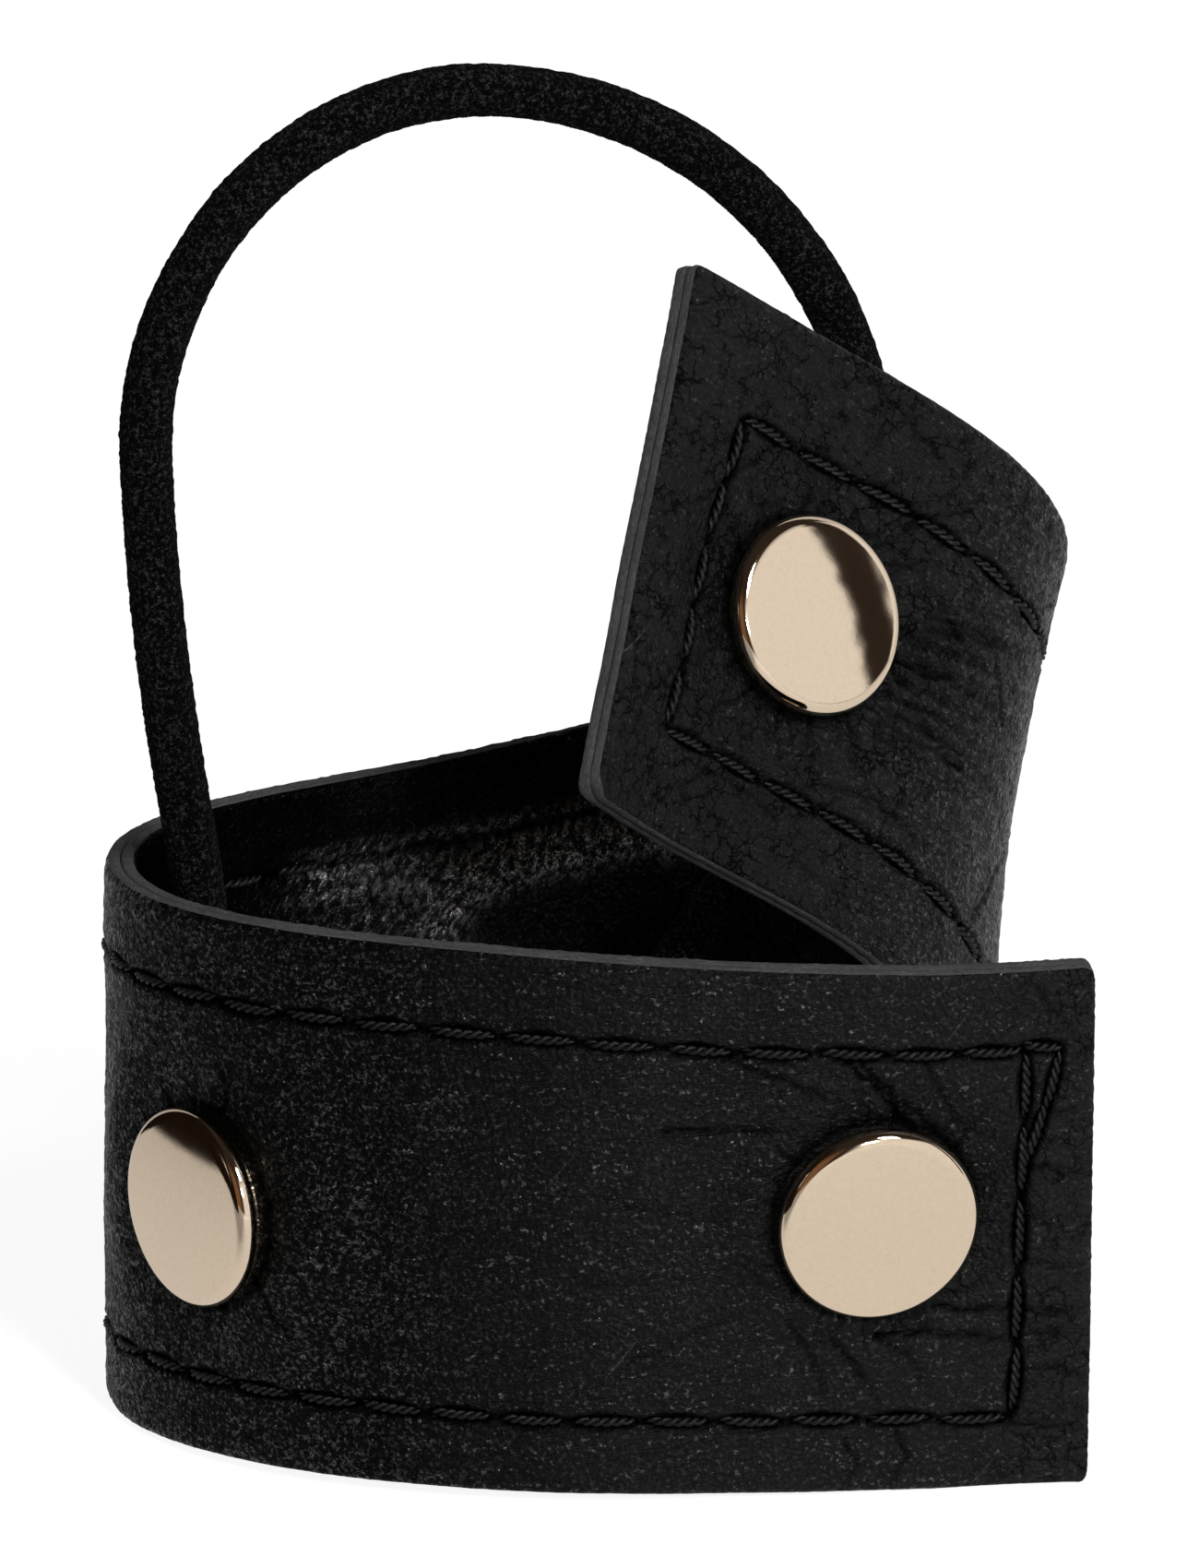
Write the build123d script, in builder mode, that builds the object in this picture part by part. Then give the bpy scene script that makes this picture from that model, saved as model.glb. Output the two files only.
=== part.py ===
from build123d import *
import math
import os

# Leather snap strap, coiled into an open loop and standing on its lower edge,
# with a covered elastic cord loop held inside by a leather keeper.
# Millimetres, +Z up. Origin: centre of the overall footprint, on the table plane.
#
# Places on the strap are given as
#   s: along the strap from its front end,
#   v: up its width from the middle line,
#   w: inwards (to the inside of the coil) from the middle of its thickness.

# ---------------------------------------------------------------- driving dimensions
STRAP_LENGTH = 186.6      # developed
STRAP_WIDTH = 34.4
STRAP_THICK = 2.0         # outer leather plus lining
GLUE = 0.06               # glue line between outer leather and lining
FLEX_FRONT = 40.0         # s where the front end flexes
FLEX_FLAP = 139.5         # s where the flap end flexes
FLEX_GAP = 0.4            # slot left at each flex line
CAP_RADIUS = 12.5 / 2
POST_RADIUS = 1.75
HOLE_RADIUS = 1.85        # punched hole in the leather
CORD_RADIUS = 1.65        # elastic cord, over the cover
CORE_RADIUS = 1.05        # rubber core bundle
THREAD_RADIUS = 0.28

# snap: s, v, depth of the cap's seat in the outer face
SNAPS = {
    "a": (13.8, 1.2, 0.12),
    "b": (172.2, 0.1, 0.12),
    "m": (56.4, -1.4, 0.40),
}
# stretch of the strap: name, start s, end s, snap
STRETCHES = (
    ("front", 0.0, FLEX_FRONT - FLEX_GAP / 2, "a"),
    ("middle", FLEX_FRONT + FLEX_GAP / 2, FLEX_FLAP - FLEX_GAP / 2, "m"),
    ("flap", FLEX_FLAP + FLEX_GAP / 2, STRAP_LENGTH, "b"),
)
# faces of the two leather layers, as w
OUTER_LAYER = (-STRAP_THICK / 2, -GLUE / 2)
LINING_LAYER = (GLUE / 2, STRAP_THICK / 2)

os.makedirs("parts", exist_ok=True)


def save(part, name):
    part.label = name
    export_step(part, f"parts/{name}.step")


# ---------------------------------------------------------------- course of the strap
# curvatures (1/mm) at evenly spaced places from the front end to the flap end
BEND = [    # towards the inside of the coil
    -0.00501, 0.0032, 0.01264, 0.02221, 0.03359, 0.04179, 0.05601, 0.05554, 0.03635,
    0.01161, 0.02023, 0.04996, 0.05285, 0.05444, 0.04099, -0.02747, 0.00616]
TWIST = [   # upper edge turning inwards
    -0.00368, 0.00265, 0.00423, 0.00114, 0.00328, -0.00066, -0.00154, -0.01756, -0.02046,
    -0.02875, -0.01071, -0.00206, 0.00612]
EDGEWISE = [    # towards the upper edge
    0.00628, -0.00142, -0.00385, 0.00201, 0.00403, 0.00693, 0.00144, -0.00459, -0.00945]
# middle of the front end, with its directions along the strap and up its width
START_CENTRE = Vector(30.515, -21.668, 17.141)
START_ALONG = Vector(-0.98946665, -0.14408649, -0.01395854)
START_UP = Vector(0.00174893, -0.10831618, 0.99411496)
FRAME_STEPS = 746         # about four frames per millimetre


def natural_spline(values, length):
    """Natural cubic spline through evenly spaced values on [0, length]."""
    n = len(values) - 1
    h = length / n
    # tridiagonal system for the second derivatives, which are zero at both ends
    side = [0.0] + [h / 6] * (n - 1) + [0.0]
    diagonal = [1.0] + [2 * h / 3] * (n - 1) + [1.0]
    right = [0.0] * (n + 1)
    for i in range(1, n):
        right[i] = (values[i + 1] - 2 * values[i] + values[i - 1]) / h
    for i in range(1, n + 1):
        factor = side[i] / diagonal[i - 1]
        diagonal[i] -= factor * side[i - 1]
        right[i] -= factor * right[i - 1]
    second = [0.0] * (n + 1)
    second[n] = right[n] / diagonal[n]
    for i in range(n - 1, -1, -1):
        second[i] = (right[i] - side[i] * second[i + 1]) / diagonal[i]

    def value_at(s):
        i = min(max(int(s / h), 0), n - 1)
        past, left = s - i * h, (i + 1) * h - s
        return (second[i] * left ** 3 / (6 * h) + second[i + 1] * past ** 3 / (6 * h)
                + (values[i] / h - second[i] * h / 6) * left
                + (values[i + 1] / h - second[i + 1] * h / 6) * past)
    return value_at


def strap_frames():
    """Frames (centre, along, up, inward) at even steps, integrated by the midpoint rule."""
    ds = STRAP_LENGTH / FRAME_STEPS
    curvatures = [natural_spline(table, STRAP_LENGTH) for table in (BEND, TWIST, EDGEWISE)]
    centre, along, up = START_CENTRE, START_ALONG, START_UP
    inward = along.cross(up)
    frames = [(centre, along, up, inward)]
    for i in range(FRAME_STEPS):
        # angles turned in this step
        bend, twist, edge = (curve((i + 0.5) * ds) * ds for curve in curvatures)
        mid_along = along + up * (edge / 2) + inward * (bend / 2)
        mid_up = up - along * (edge / 2) + inward * (twist / 2)
        mid_inward = inward - along * (bend / 2) - up * (twist / 2)
        next_along = (along + mid_up * edge + mid_inward * bend).normalized()
        up = up - mid_along * edge + mid_inward * twist
        up = (up - next_along * up.dot(next_along)).normalized()
        centre = centre + (along + next_along).normalized() * ds
        along = next_along
        inward = along.cross(up)
        frames.append((centre, along, up, inward))
    return frames


FRAMES = strap_frames()


def frame_at(s):
    """Centre, along, up and inward at s, interpolated between frames."""
    x = min(max(s / STRAP_LENGTH, 0.0), 1.0) * FRAME_STEPS
    i = min(int(x), FRAME_STEPS - 1)
    f = x - i
    centre, along, up, inward = (
        p * (1 - f) + q * f for p, q in zip(FRAMES[i], FRAMES[i + 1]))
    return centre, along.normalized(), up.normalized(), inward.normalized()


def point_at(s, v, w):
    centre, _, up, inward = frame_at(s)
    return centre + up * v + inward * w


def section_plane(s):
    """Cross-section plane: local x inwards, local y up the width."""
    centre, _, up, inward = frame_at(s)
    return Plane(origin=centre, x_dir=inward, z_dir=inward.cross(up))


def snap_plane(s, v, sink=0):
    """Plane sunk below the outer face of the strap, x along it and z out of the leather."""
    _, along, _, inward = frame_at(s)
    origin = point_at(s, v, -STRAP_THICK / 2) + inward * sink
    return Plane(origin=origin, x_dir=along, z_dir=-inward)


SEATS = {key: snap_plane(*place) for key, place in SNAPS.items()}

# ---------------------------------------------------------------- leather layers
SECTION_STEP = 5.0        # longest distance between loft sections
TRIM_EXTRA = 0.9          # extra width below the edge, trimmed on the table plane
TRIM_END = 104            # s where the extra width starts to fade
TRIM_FADE = 8.0           # length over which it fades out
SEAT_CLEARANCE = 0.08     # round the cap


def extra_width(s):
    return TRIM_EXTRA * min(1.0, max(0.0, 1 - (s - TRIM_END) / TRIM_FADE))


def leather_layer(name, start, end, faces, snap):
    """One leather layer of one stretch of the strap."""
    count = max(3, math.ceil((end - start) / SECTION_STEP))
    with BuildPart() as piece:
        for i in range(count + 1):
            s = start + (end - start) * i / count
            extra = extra_width(s)
            with BuildSketch(section_plane(s)):
                with Locations((sum(faces) / 2, -extra / 2)):
                    Rectangle(faces[1] - faces[0], STRAP_WIDTH + extra)
        loft()
        if start < TRIM_END:
            # everything below the table
            with BuildSketch(Plane.XY):
                Rectangle(200, 200)
            extrude(amount=-20, mode=Mode.SUBTRACT)
        with BuildSketch(snap_plane(*SNAPS[snap][:2])):
            Circle(HOLE_RADIUS)
        extrude(amount=6, both=True, mode=Mode.SUBTRACT)
        if faces == OUTER_LAYER:
            # seat pressed into the outer leather by the cap
            with BuildSketch(SEATS[snap]):
                Circle(CAP_RADIUS + SEAT_CLEARANCE)
            extrude(amount=4, mode=Mode.SUBTRACT)
    save(piece.part, name)


for stretch, start, end, snap in STRETCHES:
    leather_layer(f"outer_leather_{stretch}", start, end, OUTER_LAYER, snap)
    leather_layer(f"lining_{stretch}", start, end, LINING_LAYER, snap)

# ---------------------------------------------------------------- seams
STITCH_PITCH = 4.5
STITCH_GAP = 0.7          # between two visible stitches
FRONT_ROW = 4.4           # s of the end row across the front end
FLAP_ROW = STRAP_LENGTH - 5.8
# stitch row inset from its edge, and how much wider it gets on the flap
TOP_INSET, TOP_WIDENING = 5.2, 2.3
LOW_INSET, LOW_WIDENING = 4.8, 1.4
WIDENING_START, WIDENING_LENGTH = 125, 30.0
# thread axis, as w: clear of each face of the strap
FACE_THREAD_W = OUTER_LAYER[0] - THREAD_RADIUS - 0.14
LINING_THREAD_W = LINING_LAYER[1] + THREAD_RADIUS + 0.04


def top_row(s):
    """Height v of the upper stitch row."""
    f = min(max((s - WIDENING_START) / WIDENING_LENGTH, 0.0), 1.0)
    return STRAP_WIDTH / 2 - (TOP_INSET + TOP_WIDENING * f)


def low_row(s):
    """Height v of the lower stitch row."""
    f = min(max((s - WIDENING_START) / WIDENING_LENGTH, 0.0), 1.0)
    return -STRAP_WIDTH / 2 + LOW_INSET + LOW_WIDENING * f


def divide(start, end):
    """Start and end of the whole number of stitches that fit from start to end."""
    count = int((end - start) / STITCH_PITCH)
    pitch = (end - start) / count
    return [(start + i * pitch + STITCH_GAP / 2, start + (i + 1) * pitch - STITCH_GAP / 2)
            for i in range(count)]


def stitch_ends(start, end):
    """Start and end of every stitch of one stretch, as (s, v) pairs."""
    stitches = []
    for a, b in divide(max(start, FRONT_ROW), min(end, FLAP_ROW)):
        for row in (top_row, low_row):
            stitches.append(((a, row(a)), (b, row(b))))
    for s in (FRONT_ROW, FLAP_ROW):
        if start <= s <= end:
            stitches += [((s, a), (s, b)) for a, b in divide(low_row(s), top_row(s))]
    return stitches


def seam(name, start, end, w):
    """Visible thread of one face: one short bar per stitch, all of the shortest length."""
    planes = []
    length = STITCH_PITCH - STITCH_GAP
    for first, last in stitch_ends(start, end):
        origin = point_at(*first, w)
        reach = point_at(*last, w) - origin
        length = min(length, reach.length)
        planes.append(Plane(origin=origin, z_dir=reach.normalized()))
    with BuildPart() as piece:
        with BuildSketch(*planes):
            Circle(THREAD_RADIUS)
        extrude(amount=length)
    save(piece.part, name)


for stretch, start, end, _ in STRETCHES:
    seam(f"face_thread_{stretch}", start, end, FACE_THREAD_W)
    seam(f"lining_thread_{stretch}", start, end, LINING_THREAD_W)

# ---------------------------------------------------------------- snap fasteners
KEEPER_THICK = 0.9        # keeper tab leather
KEEPER_STANDOFF = 0.62    # first keeper layer off the lining
HARDWARE_GAP = 0.10       # socket and stud off the lining

# heights on a snap's axis: 0 is the seat of the cap, + is outwards
SOCKET_BASE = -(STRAP_THICK - SNAPS["a"][2]) - HARDWARE_GAP
STUD_BASE = -(STRAP_THICK - SNAPS["b"][2]) - HARDWARE_GAP
LINING_M = -(STRAP_THICK - SNAPS["m"][2])     # lining face at the middle snap
KEEPER_TOP = LINING_M - KEEPER_STANDOFF - 2 * KEEPER_THICK - 0.05

# profiles: radius, height above the piece's base
CAP = [
    (5.0, 0.02), (5.85, 0.02), (6.14, 0.14), (CAP_RADIUS, 0.55), (6.17, 0.95), (5.85, 1.32),
    (5.2, 1.62), (4.0, 1.86), (2.4, 2.02), (0, 2.08), (0, 1.68), (2.4, 1.62), (4.0, 1.46),
    (5.1, 1.2), (5.6, 0.95), (5.75, 0.62), (5.72, 0.36), (5.0, 0.36)]
SOCKET = [
    (HOLE_RADIUS, 0), (5.2, 0), (5.5, -0.3), (5.5, -2.7), (5.2, -3.0), (3.3, -3.0),
    (3.3, -2.6), (4.75, -2.5), (4.75, -0.45), (HOLE_RADIUS, -0.45)]
STUD = [
    (HOLE_RADIUS, 0), (4.8, 0), (5.0, -0.2), (4.8, -0.42), (2.75, -0.5), (2.5, -0.8),
    (2.5, -2.1), (2.85, -2.5), (2.85, -2.9), (2.5, -3.3), (0, -3.45), (0, -3.1),
    (2.2, -2.95), (2.2, -0.45), (HOLE_RADIUS, -0.4)]
WASHER = [
    (HOLE_RADIUS, -0.05), (4.3, -0.05), (4.5, -0.25), (4.2, -0.5), (HOLE_RADIUS, -0.55)]


def revolved(name, seat, profile, base=0):
    """Piece turned about the snap's own axis, its profile moved to the base height."""
    profile_plane = Plane(origin=seat.origin, x_dir=seat.x_dir, z_dir=-seat.y_dir)
    with BuildPart() as piece:
        with BuildSketch(profile_plane):
            with BuildLine():
                Polyline(*[(radius, base + height) for radius, height in profile], close=True)
            make_face()
        revolve(axis=Axis(seat.origin, seat.z_dir))
    save(piece.part, name)


def post_profile(end):
    """Tubular rivet post: flange under the cap, tube through the leather, rolled end."""
    return [(1.25, 0.74), (5.55, 0.74), (5.55, 0.42), (POST_RADIUS, 0.42),
            (POST_RADIUS, end - 0.5), (2.15, end - 0.62), (2.1, end - 0.95),
            (1.6, end - 0.98), (1.25, end - 0.62)]


for key, seat in SEATS.items():
    revolved(f"cap_{key}", seat, CAP)

revolved("socket_a", SEATS["a"], SOCKET, SOCKET_BASE)
revolved("post_a", SEATS["a"], post_profile(SOCKET_BASE))
revolved("stud_b", SEATS["b"], STUD, STUD_BASE)
revolved("post_b", SEATS["b"], post_profile(STUD_BASE + 0.05))
# the middle snap holds the keeper tab and is closed by a flat washer
revolved("washer_m", SEATS["m"], WASHER, KEEPER_TOP)
revolved("post_m", SEATS["m"], post_profile(KEEPER_TOP - 0.1))

# two straight spring wires in the socket
SPRING_RADIUS = 0.3
SPRING_LENGTH = 6.0
SPRING_OFFSET = 2.75      # from the snap's axis
SPRING_DEPTH = 2.05       # below the socket's base


def socket_spring(name, side):
    """Wire along the strap; the seat's y points down, so side -1 is the upper one."""
    seat = SEATS["a"]
    middle = (seat.origin + seat.z_dir * (SOCKET_BASE - SPRING_DEPTH)
              + seat.y_dir * (side * SPRING_OFFSET))
    with BuildPart() as spring:
        with BuildSketch(Plane(origin=middle, z_dir=seat.x_dir)):
            Circle(SPRING_RADIUS)
        extrude(amount=SPRING_LENGTH / 2, both=True)
    save(spring.part, name)


socket_spring("socket_spring_upper", -1)
socket_spring("socket_spring_lower", 1)

# ---------------------------------------------------------------- elastic cord loop
# The ring lies in one upright plane. It runs straight up through the keeper
# and then follows nine tangent arcs, mostly clockwise, back to the keeper.
LEG_X, LEG_Y = -23.562, -3.14     # plan position of the straight stretch
LEG_TOP = 24.15
LEG_MIDDLE = 17.85        # height of the butt joint, inside the keeper
RING_DIRECTION = Vector(0.94546286, 0.32572993, 0)
JOINT_HALF_GAP = 0.05
COVER_CLEARANCE = 0.04    # between cover and core
# curvature (1/mm, + is anticlockwise), arc length
ARCS = [
    (0.0132517987, 13.0781605419), (-0.0056429676, 23.2220090176),
    (-0.0462292592, 13.3948862342), (-0.0499432824, 22.4710412660),
    (-0.0354145822, 30.0452696965), (-0.0326269066, 30.0441001949),
    (-0.0034458807, 30.0527320468), (-0.0551073303, 16.2836252039),
    (-0.1629294611, 9.4442524394)]


def ring_line():
    """Middle line of the ring: from the butt joint up, round and back to the joint."""
    ring_plane = Plane(origin=(LEG_X, LEG_Y, 0), x_dir=RING_DIRECTION,
                       z_dir=RING_DIRECTION.cross(Vector(0, 0, 1)))
    x, y, heading = 0.0, LEG_TOP, math.pi / 2
    with BuildLine(ring_plane) as path:
        Line((0, LEG_MIDDLE + JOINT_HALF_GAP), (0, LEG_TOP))
        for curvature, length in ARCS:
            turn = curvature * length
            JernArc(start=(x, y), tangent=(math.cos(heading), math.sin(heading)),
                    radius=1 / abs(curvature), arc_size=math.degrees(turn))
            x += (math.sin(heading + turn) - math.sin(heading)) / curvature
            y -= (math.cos(heading + turn) - math.cos(heading)) / curvature
            heading += turn
        Line((x, y), (0, LEG_MIDDLE - JOINT_HALF_GAP))
    return path.line


def cord(name, radius, bore=0):
    """Round cord along the ring, hollow if it has a bore radius."""
    ring = ring_line()
    end_plane = Plane(origin=ring @ 0, z_dir=ring % 0)
    with BuildPart() as piece:
        with BuildSketch(end_plane):
            Circle(radius)
        sweep(path=ring)
        if bore:
            with BuildSketch(end_plane):
                Circle(bore)
            sweep(path=ring, mode=Mode.SUBTRACT)
    save(piece.part, name)


cord("cord_cover", CORD_RADIUS, CORE_RADIUS + COVER_CLEARANCE)
cord("cord_core", CORE_RADIUS)

# ---------------------------------------------------------------- keeper tab
# A strip folded round the cord; both ends are pinched under the middle washer.
# Its profile has x along the strap and y inwards, both from the middle snap's seat.
KEEPER_HEIGHT = 12.0
KEEPER_RISE = 1.5         # middle of the tab above the snap
KEEPER_END = -5.0         # x of the two loose ends
KEEPER_FLAT = 4.8         # x where the flat layers end and the fold begins
FOLD_RADIUS = CORD_RADIUS + 0.30 + KEEPER_THICK / 2
FOLD_STEPS = 18
NEAR_LAYER = -LINING_M + KEEPER_STANDOFF + KEEPER_THICK / 2
FAR_LAYER = NEAR_LAYER + KEEPER_THICK + 0.04


def keeper_path(cord_x, cord_y, offset):
    """Middle line of the folded strip, moved outwards by offset."""
    radius = FOLD_RADIUS + offset
    near, far = NEAR_LAYER - offset, FAR_LAYER + offset

    def tangent_angle(y, side):
        """Angle on the fold where the line from the end of a flat layer touches it."""
        dx, dy = cord_x - KEEPER_FLAT, cord_y - y
        return math.atan2(dy, dx) + math.pi - side * math.acos(radius / math.hypot(dx, dy))

    first, last = tangent_angle(near, -1), tangent_angle(far, 1)
    while last < first:
        last += 2 * math.pi
    points = [(KEEPER_END, near), (KEEPER_FLAT, near)]
    for i in range(FOLD_STEPS + 1):
        angle = first + (last - first) * i / FOLD_STEPS
        points.append((cord_x + radius * math.cos(angle), cord_y + radius * math.sin(angle)))
    return points + [(KEEPER_FLAT, far), (KEEPER_END, far)]


def cord_keeper():
    seat = SEATS["m"]
    _, along, up, inward = frame_at(SNAPS["m"][0])
    to_cord = Vector(LEG_X, LEG_Y, LEG_MIDDLE) - seat.origin
    cord_x, cord_y = to_cord.dot(along), to_cord.dot(inward)
    outside = keeper_path(cord_x, cord_y, KEEPER_THICK / 2)
    inside = keeper_path(cord_x, cord_y, -KEEPER_THICK / 2)
    profile_plane = Plane(origin=seat.origin + up * KEEPER_RISE, x_dir=along,
                          z_dir=along.cross(inward))
    with BuildPart() as keeper:
        with BuildSketch(profile_plane):
            with BuildLine():
                Polyline(*outside, *reversed(inside), close=True)
            make_face()
        extrude(amount=KEEPER_HEIGHT / 2, both=True)
        with BuildSketch(seat):
            Circle(HOLE_RADIUS)
        extrude(amount=-8, mode=Mode.SUBTRACT)
    save(keeper.part, "cord_keeper")


cord_keeper()
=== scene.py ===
# A leather snap strap curled into a loop: face leather, lining, thread, snap caps and elastic cord.
# +Z is up and -Y faces the camera. From its front end at the right the strap runs left along the
# front, round the left bend, along the back and round the right bend to the flap.
# On the strap, "along" is mm from the front end and "across" is mm up from the centre line.
import math
from collections import namedtuple
from types import SimpleNamespace

import bmesh
import bpy
import numpy as np
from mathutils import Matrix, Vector

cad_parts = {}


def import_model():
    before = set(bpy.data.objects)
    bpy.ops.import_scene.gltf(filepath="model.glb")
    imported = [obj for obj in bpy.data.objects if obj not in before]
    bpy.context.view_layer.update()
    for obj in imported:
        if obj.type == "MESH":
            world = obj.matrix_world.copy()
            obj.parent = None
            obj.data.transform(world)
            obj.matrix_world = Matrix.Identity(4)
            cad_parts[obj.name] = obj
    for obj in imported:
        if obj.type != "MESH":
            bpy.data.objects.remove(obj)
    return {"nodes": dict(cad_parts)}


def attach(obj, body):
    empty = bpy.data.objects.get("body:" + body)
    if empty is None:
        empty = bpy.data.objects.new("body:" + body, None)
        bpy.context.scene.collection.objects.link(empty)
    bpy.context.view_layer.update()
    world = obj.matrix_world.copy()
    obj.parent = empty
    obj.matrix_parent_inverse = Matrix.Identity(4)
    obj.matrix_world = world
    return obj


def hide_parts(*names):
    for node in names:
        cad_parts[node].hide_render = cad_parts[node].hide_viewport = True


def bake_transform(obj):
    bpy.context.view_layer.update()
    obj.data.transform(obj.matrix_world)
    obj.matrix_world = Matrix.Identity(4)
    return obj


CAD_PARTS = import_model()["nodes"]
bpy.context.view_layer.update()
MM = 0.001

# ---------------------------------------------------------------- strap dimensions (mm)
LENGTH, WIDTH, THICKNESS = 186.6, 34.4, 2.0
GLUE = 0.06                               # gap between the two layers
OFFSET = np.array([0.738, -12.94, 42.35])  # from the strap curve's frame to the product's
FRONT_MARGIN, FLAP_MARGIN = 4.4, 5.8      # end seams to the strap ends
STITCH = 4.5
SPLIT = 78.0                              # where front and rear pieces meet
FRONT_ZONE = (27.0, 49.0)                 # front end's zone on the strap; read by follow(), which blends nothing
FLAP_ZONE = (128.0, 151.0)
STEP = 0.3         # mesh spacing
RIM = 4                                   # mesh divisions through a layer's thickness

# Evenly spaced rates of turn along the centre line, in radians per mm.
BEND = [-0.00501, 0.0032, 0.01264, 0.02221, 0.03359, 0.04179, 0.05601, 0.05554, 0.03635,
        0.01161, 0.02023, 0.04996, 0.05285, 0.05444, 0.04099, -0.02747, 0.00616]
TWIST = [-0.00368, 0.00265, 0.00423, 0.00114, 0.00328, -0.00066, -0.00154, -0.01756, -0.02046,
         -0.02875, -0.01071, -0.00206, 0.00612]
SWAY = [0.00628, -0.00142, -0.00385, 0.00201, 0.00403, 0.00693, 0.00144, -0.00459, -0.00945]
CURVE_STEPS = 746
# Position and directions at the front end: along the strap, up its width, into the loop.
START_CENTRE = np.array([29.777, -8.728, -25.209])
START_TANGENT = np.array([-0.98946665, -0.14408649, -0.01395854])
START_RISE = np.array([0.00174893, -0.10831618, 0.99411496])
START_INWARD = np.array([-0.14475047, 0.98361918, 0.10742724])

# sink: seat depth below the leather; turn: tilt of the cap in degrees; reach: radius of
# leather drawn to the seat; pucker: wrinkle height round the cap; body: what the cap rides on
Snap = namedtuple("Snap", "along across sink turn reach pucker pucker_seed body")
SNAPS = {
    "a": Snap(13.45, 1.2, 0.12, -5.0, 10.5, 0.07, 31, "front_end"),
    "m": Snap(56.4, -1.4, 0.40, 6.0, 13.5, 0.10, 32, "strap"),
    "b": Snap(172.2, 0.1, 0.12, -2.5, 11.5, 0.09, 33, "flap_end"),
}
FAN_START = 6.2                           # creases and lines begin this far from a snap's centre


# ---------------------------------------------------------------- strap curve
def natural_spline(values, length):
    """Natural cubic through evenly spaced values, as a function of distance."""
    values = np.array(values, float)
    count = len(values) - 1
    gap = length / count
    matrix = np.eye(count + 1)
    target = np.zeros(count + 1)
    for i in range(1, count):
        matrix[i, i - 1:i + 2] = gap / 6, 2 * gap / 3, gap / 6
        target[i] = (values[i + 1] - 2 * values[i] + values[i - 1]) / gap
    moments = np.linalg.solve(matrix, target)

    def evaluate(distance):
        i = np.clip((distance / gap).astype(int), 0, count - 1)
        after, before = distance - i * gap, (i + 1) * gap - distance
        return ((moments[i] * before ** 3 + moments[i + 1] * after ** 3) / (6 * gap)
                + (values[i] / gap - moments[i] * gap / 6) * before
                + (values[i + 1] / gap - moments[i + 1] * gap / 6) * after)
    return evaluate


def trace_ribbon():
    """Follow the rates of turn by midpoint steps; rows hold centre, tangent, rise, inward."""
    step = LENGTH / CURVE_STEPS
    halfway = (np.arange(CURVE_STEPS) + 0.5) * step
    rates = [natural_spline(values, LENGTH)(halfway) for values in (BEND, TWIST, SWAY)]
    centre, tangent, rise, inward = START_CENTRE, START_TANGENT, START_RISE, START_INWARD
    ribbon = [np.array([centre, tangent, rise, inward])]
    for bend, twist, sway in zip(*rates):
        mid_tangent = tangent + 0.5 * step * (sway * rise + bend * inward)
        mid_rise = rise + 0.5 * step * (-sway * tangent + twist * inward)
        mid_inward = inward + 0.5 * step * (-bend * tangent - twist * rise)
        new_tangent = tangent + step * (sway * mid_rise + bend * mid_inward)
        rise = rise + step * (-sway * mid_tangent + twist * mid_inward)
        new_tangent = new_tangent / np.linalg.norm(new_tangent)
        rise = rise - new_tangent * (rise @ new_tangent)
        rise = rise / np.linalg.norm(rise)
        inward = np.cross(rise, new_tangent)
        if inward @ mid_inward < 0:
            inward = -inward
        chord = tangent + new_tangent
        centre = centre + step * chord / np.linalg.norm(chord)
        tangent = new_tangent
        ribbon.append(np.array([centre, tangent, rise, inward]))
    return np.array(ribbon)


RIBBON = trace_ribbon()
RIBBON_ALONG = np.linspace(0, LENGTH, len(RIBBON))


def frames(along):
    """Centre, tangent, rise and inward direction; continues straight past either end."""
    along = np.atleast_1d(np.asarray(along, float))
    centre, tangent, rise, inward = (
        np.stack([np.interp(along, RIBBON_ALONG, RIBBON[:, j, q]) for q in range(3)], -1)
        for j in range(4))
    overrun = np.maximum(along - LENGTH, 0) + np.minimum(along, 0)
    return centre + OFFSET + tangent * overrun[:, None], tangent, rise, inward


def snap_frame(snap, turned):
    """Seat centre, outward normal and along-strap direction of a snap."""
    centre, tangent, rise, inward = (q[0] for q in frames([snap.along]))
    normal, forward = -inward, tangent
    if turned:
        cos, sin = math.cos(math.radians(snap.turn)), math.sin(math.radians(snap.turn))
        normal, forward = normal * cos + forward * sin, forward * cos - normal * sin
    seat = centre + snap.across * rise - inward * (THICKNESS / 2 - snap.sink)
    return seat, normal, forward


# ---------------------------------------------------------------- seeded noise
def hash01(ix, iy, seed):
    """Repeatable value from 0 to 1 for each grid point."""
    h = ix.astype(np.int64) * 374761393 + iy.astype(np.int64) * 668265263 + seed * 974711
    h = h & 0xFFFFFFFF
    h = ((h ^ (h >> 13)) * 1274126177) & 0xFFFFFFFF
    h = h ^ (h >> 16)
    return (h & 0xFFFFFF) / float(0xFFFFFF)


def noise2(x, y, seed):
    """Smooth gradient noise, about -1 to 1."""
    ix, iy = np.floor(x), np.floor(y)
    fx, fy = x - ix, y - iy
    ease_x = fx * fx * fx * (fx * (fx * 6 - 15) + 10)
    ease_y = fy * fy * fy * (fy * (fy * 6 - 15) + 10)
    total = 0
    for dx in (0, 1):
        for dy in (0, 1):
            angle = hash01(ix + dx, iy + dy, seed) * 2 * math.pi
            slope = np.cos(angle) * (fx - dx) + np.sin(angle) * (fy - dy)
            total = total + slope * (ease_x if dx else 1 - ease_x) * (ease_y if dy else 1 - ease_y)
    return total * 1.5


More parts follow.
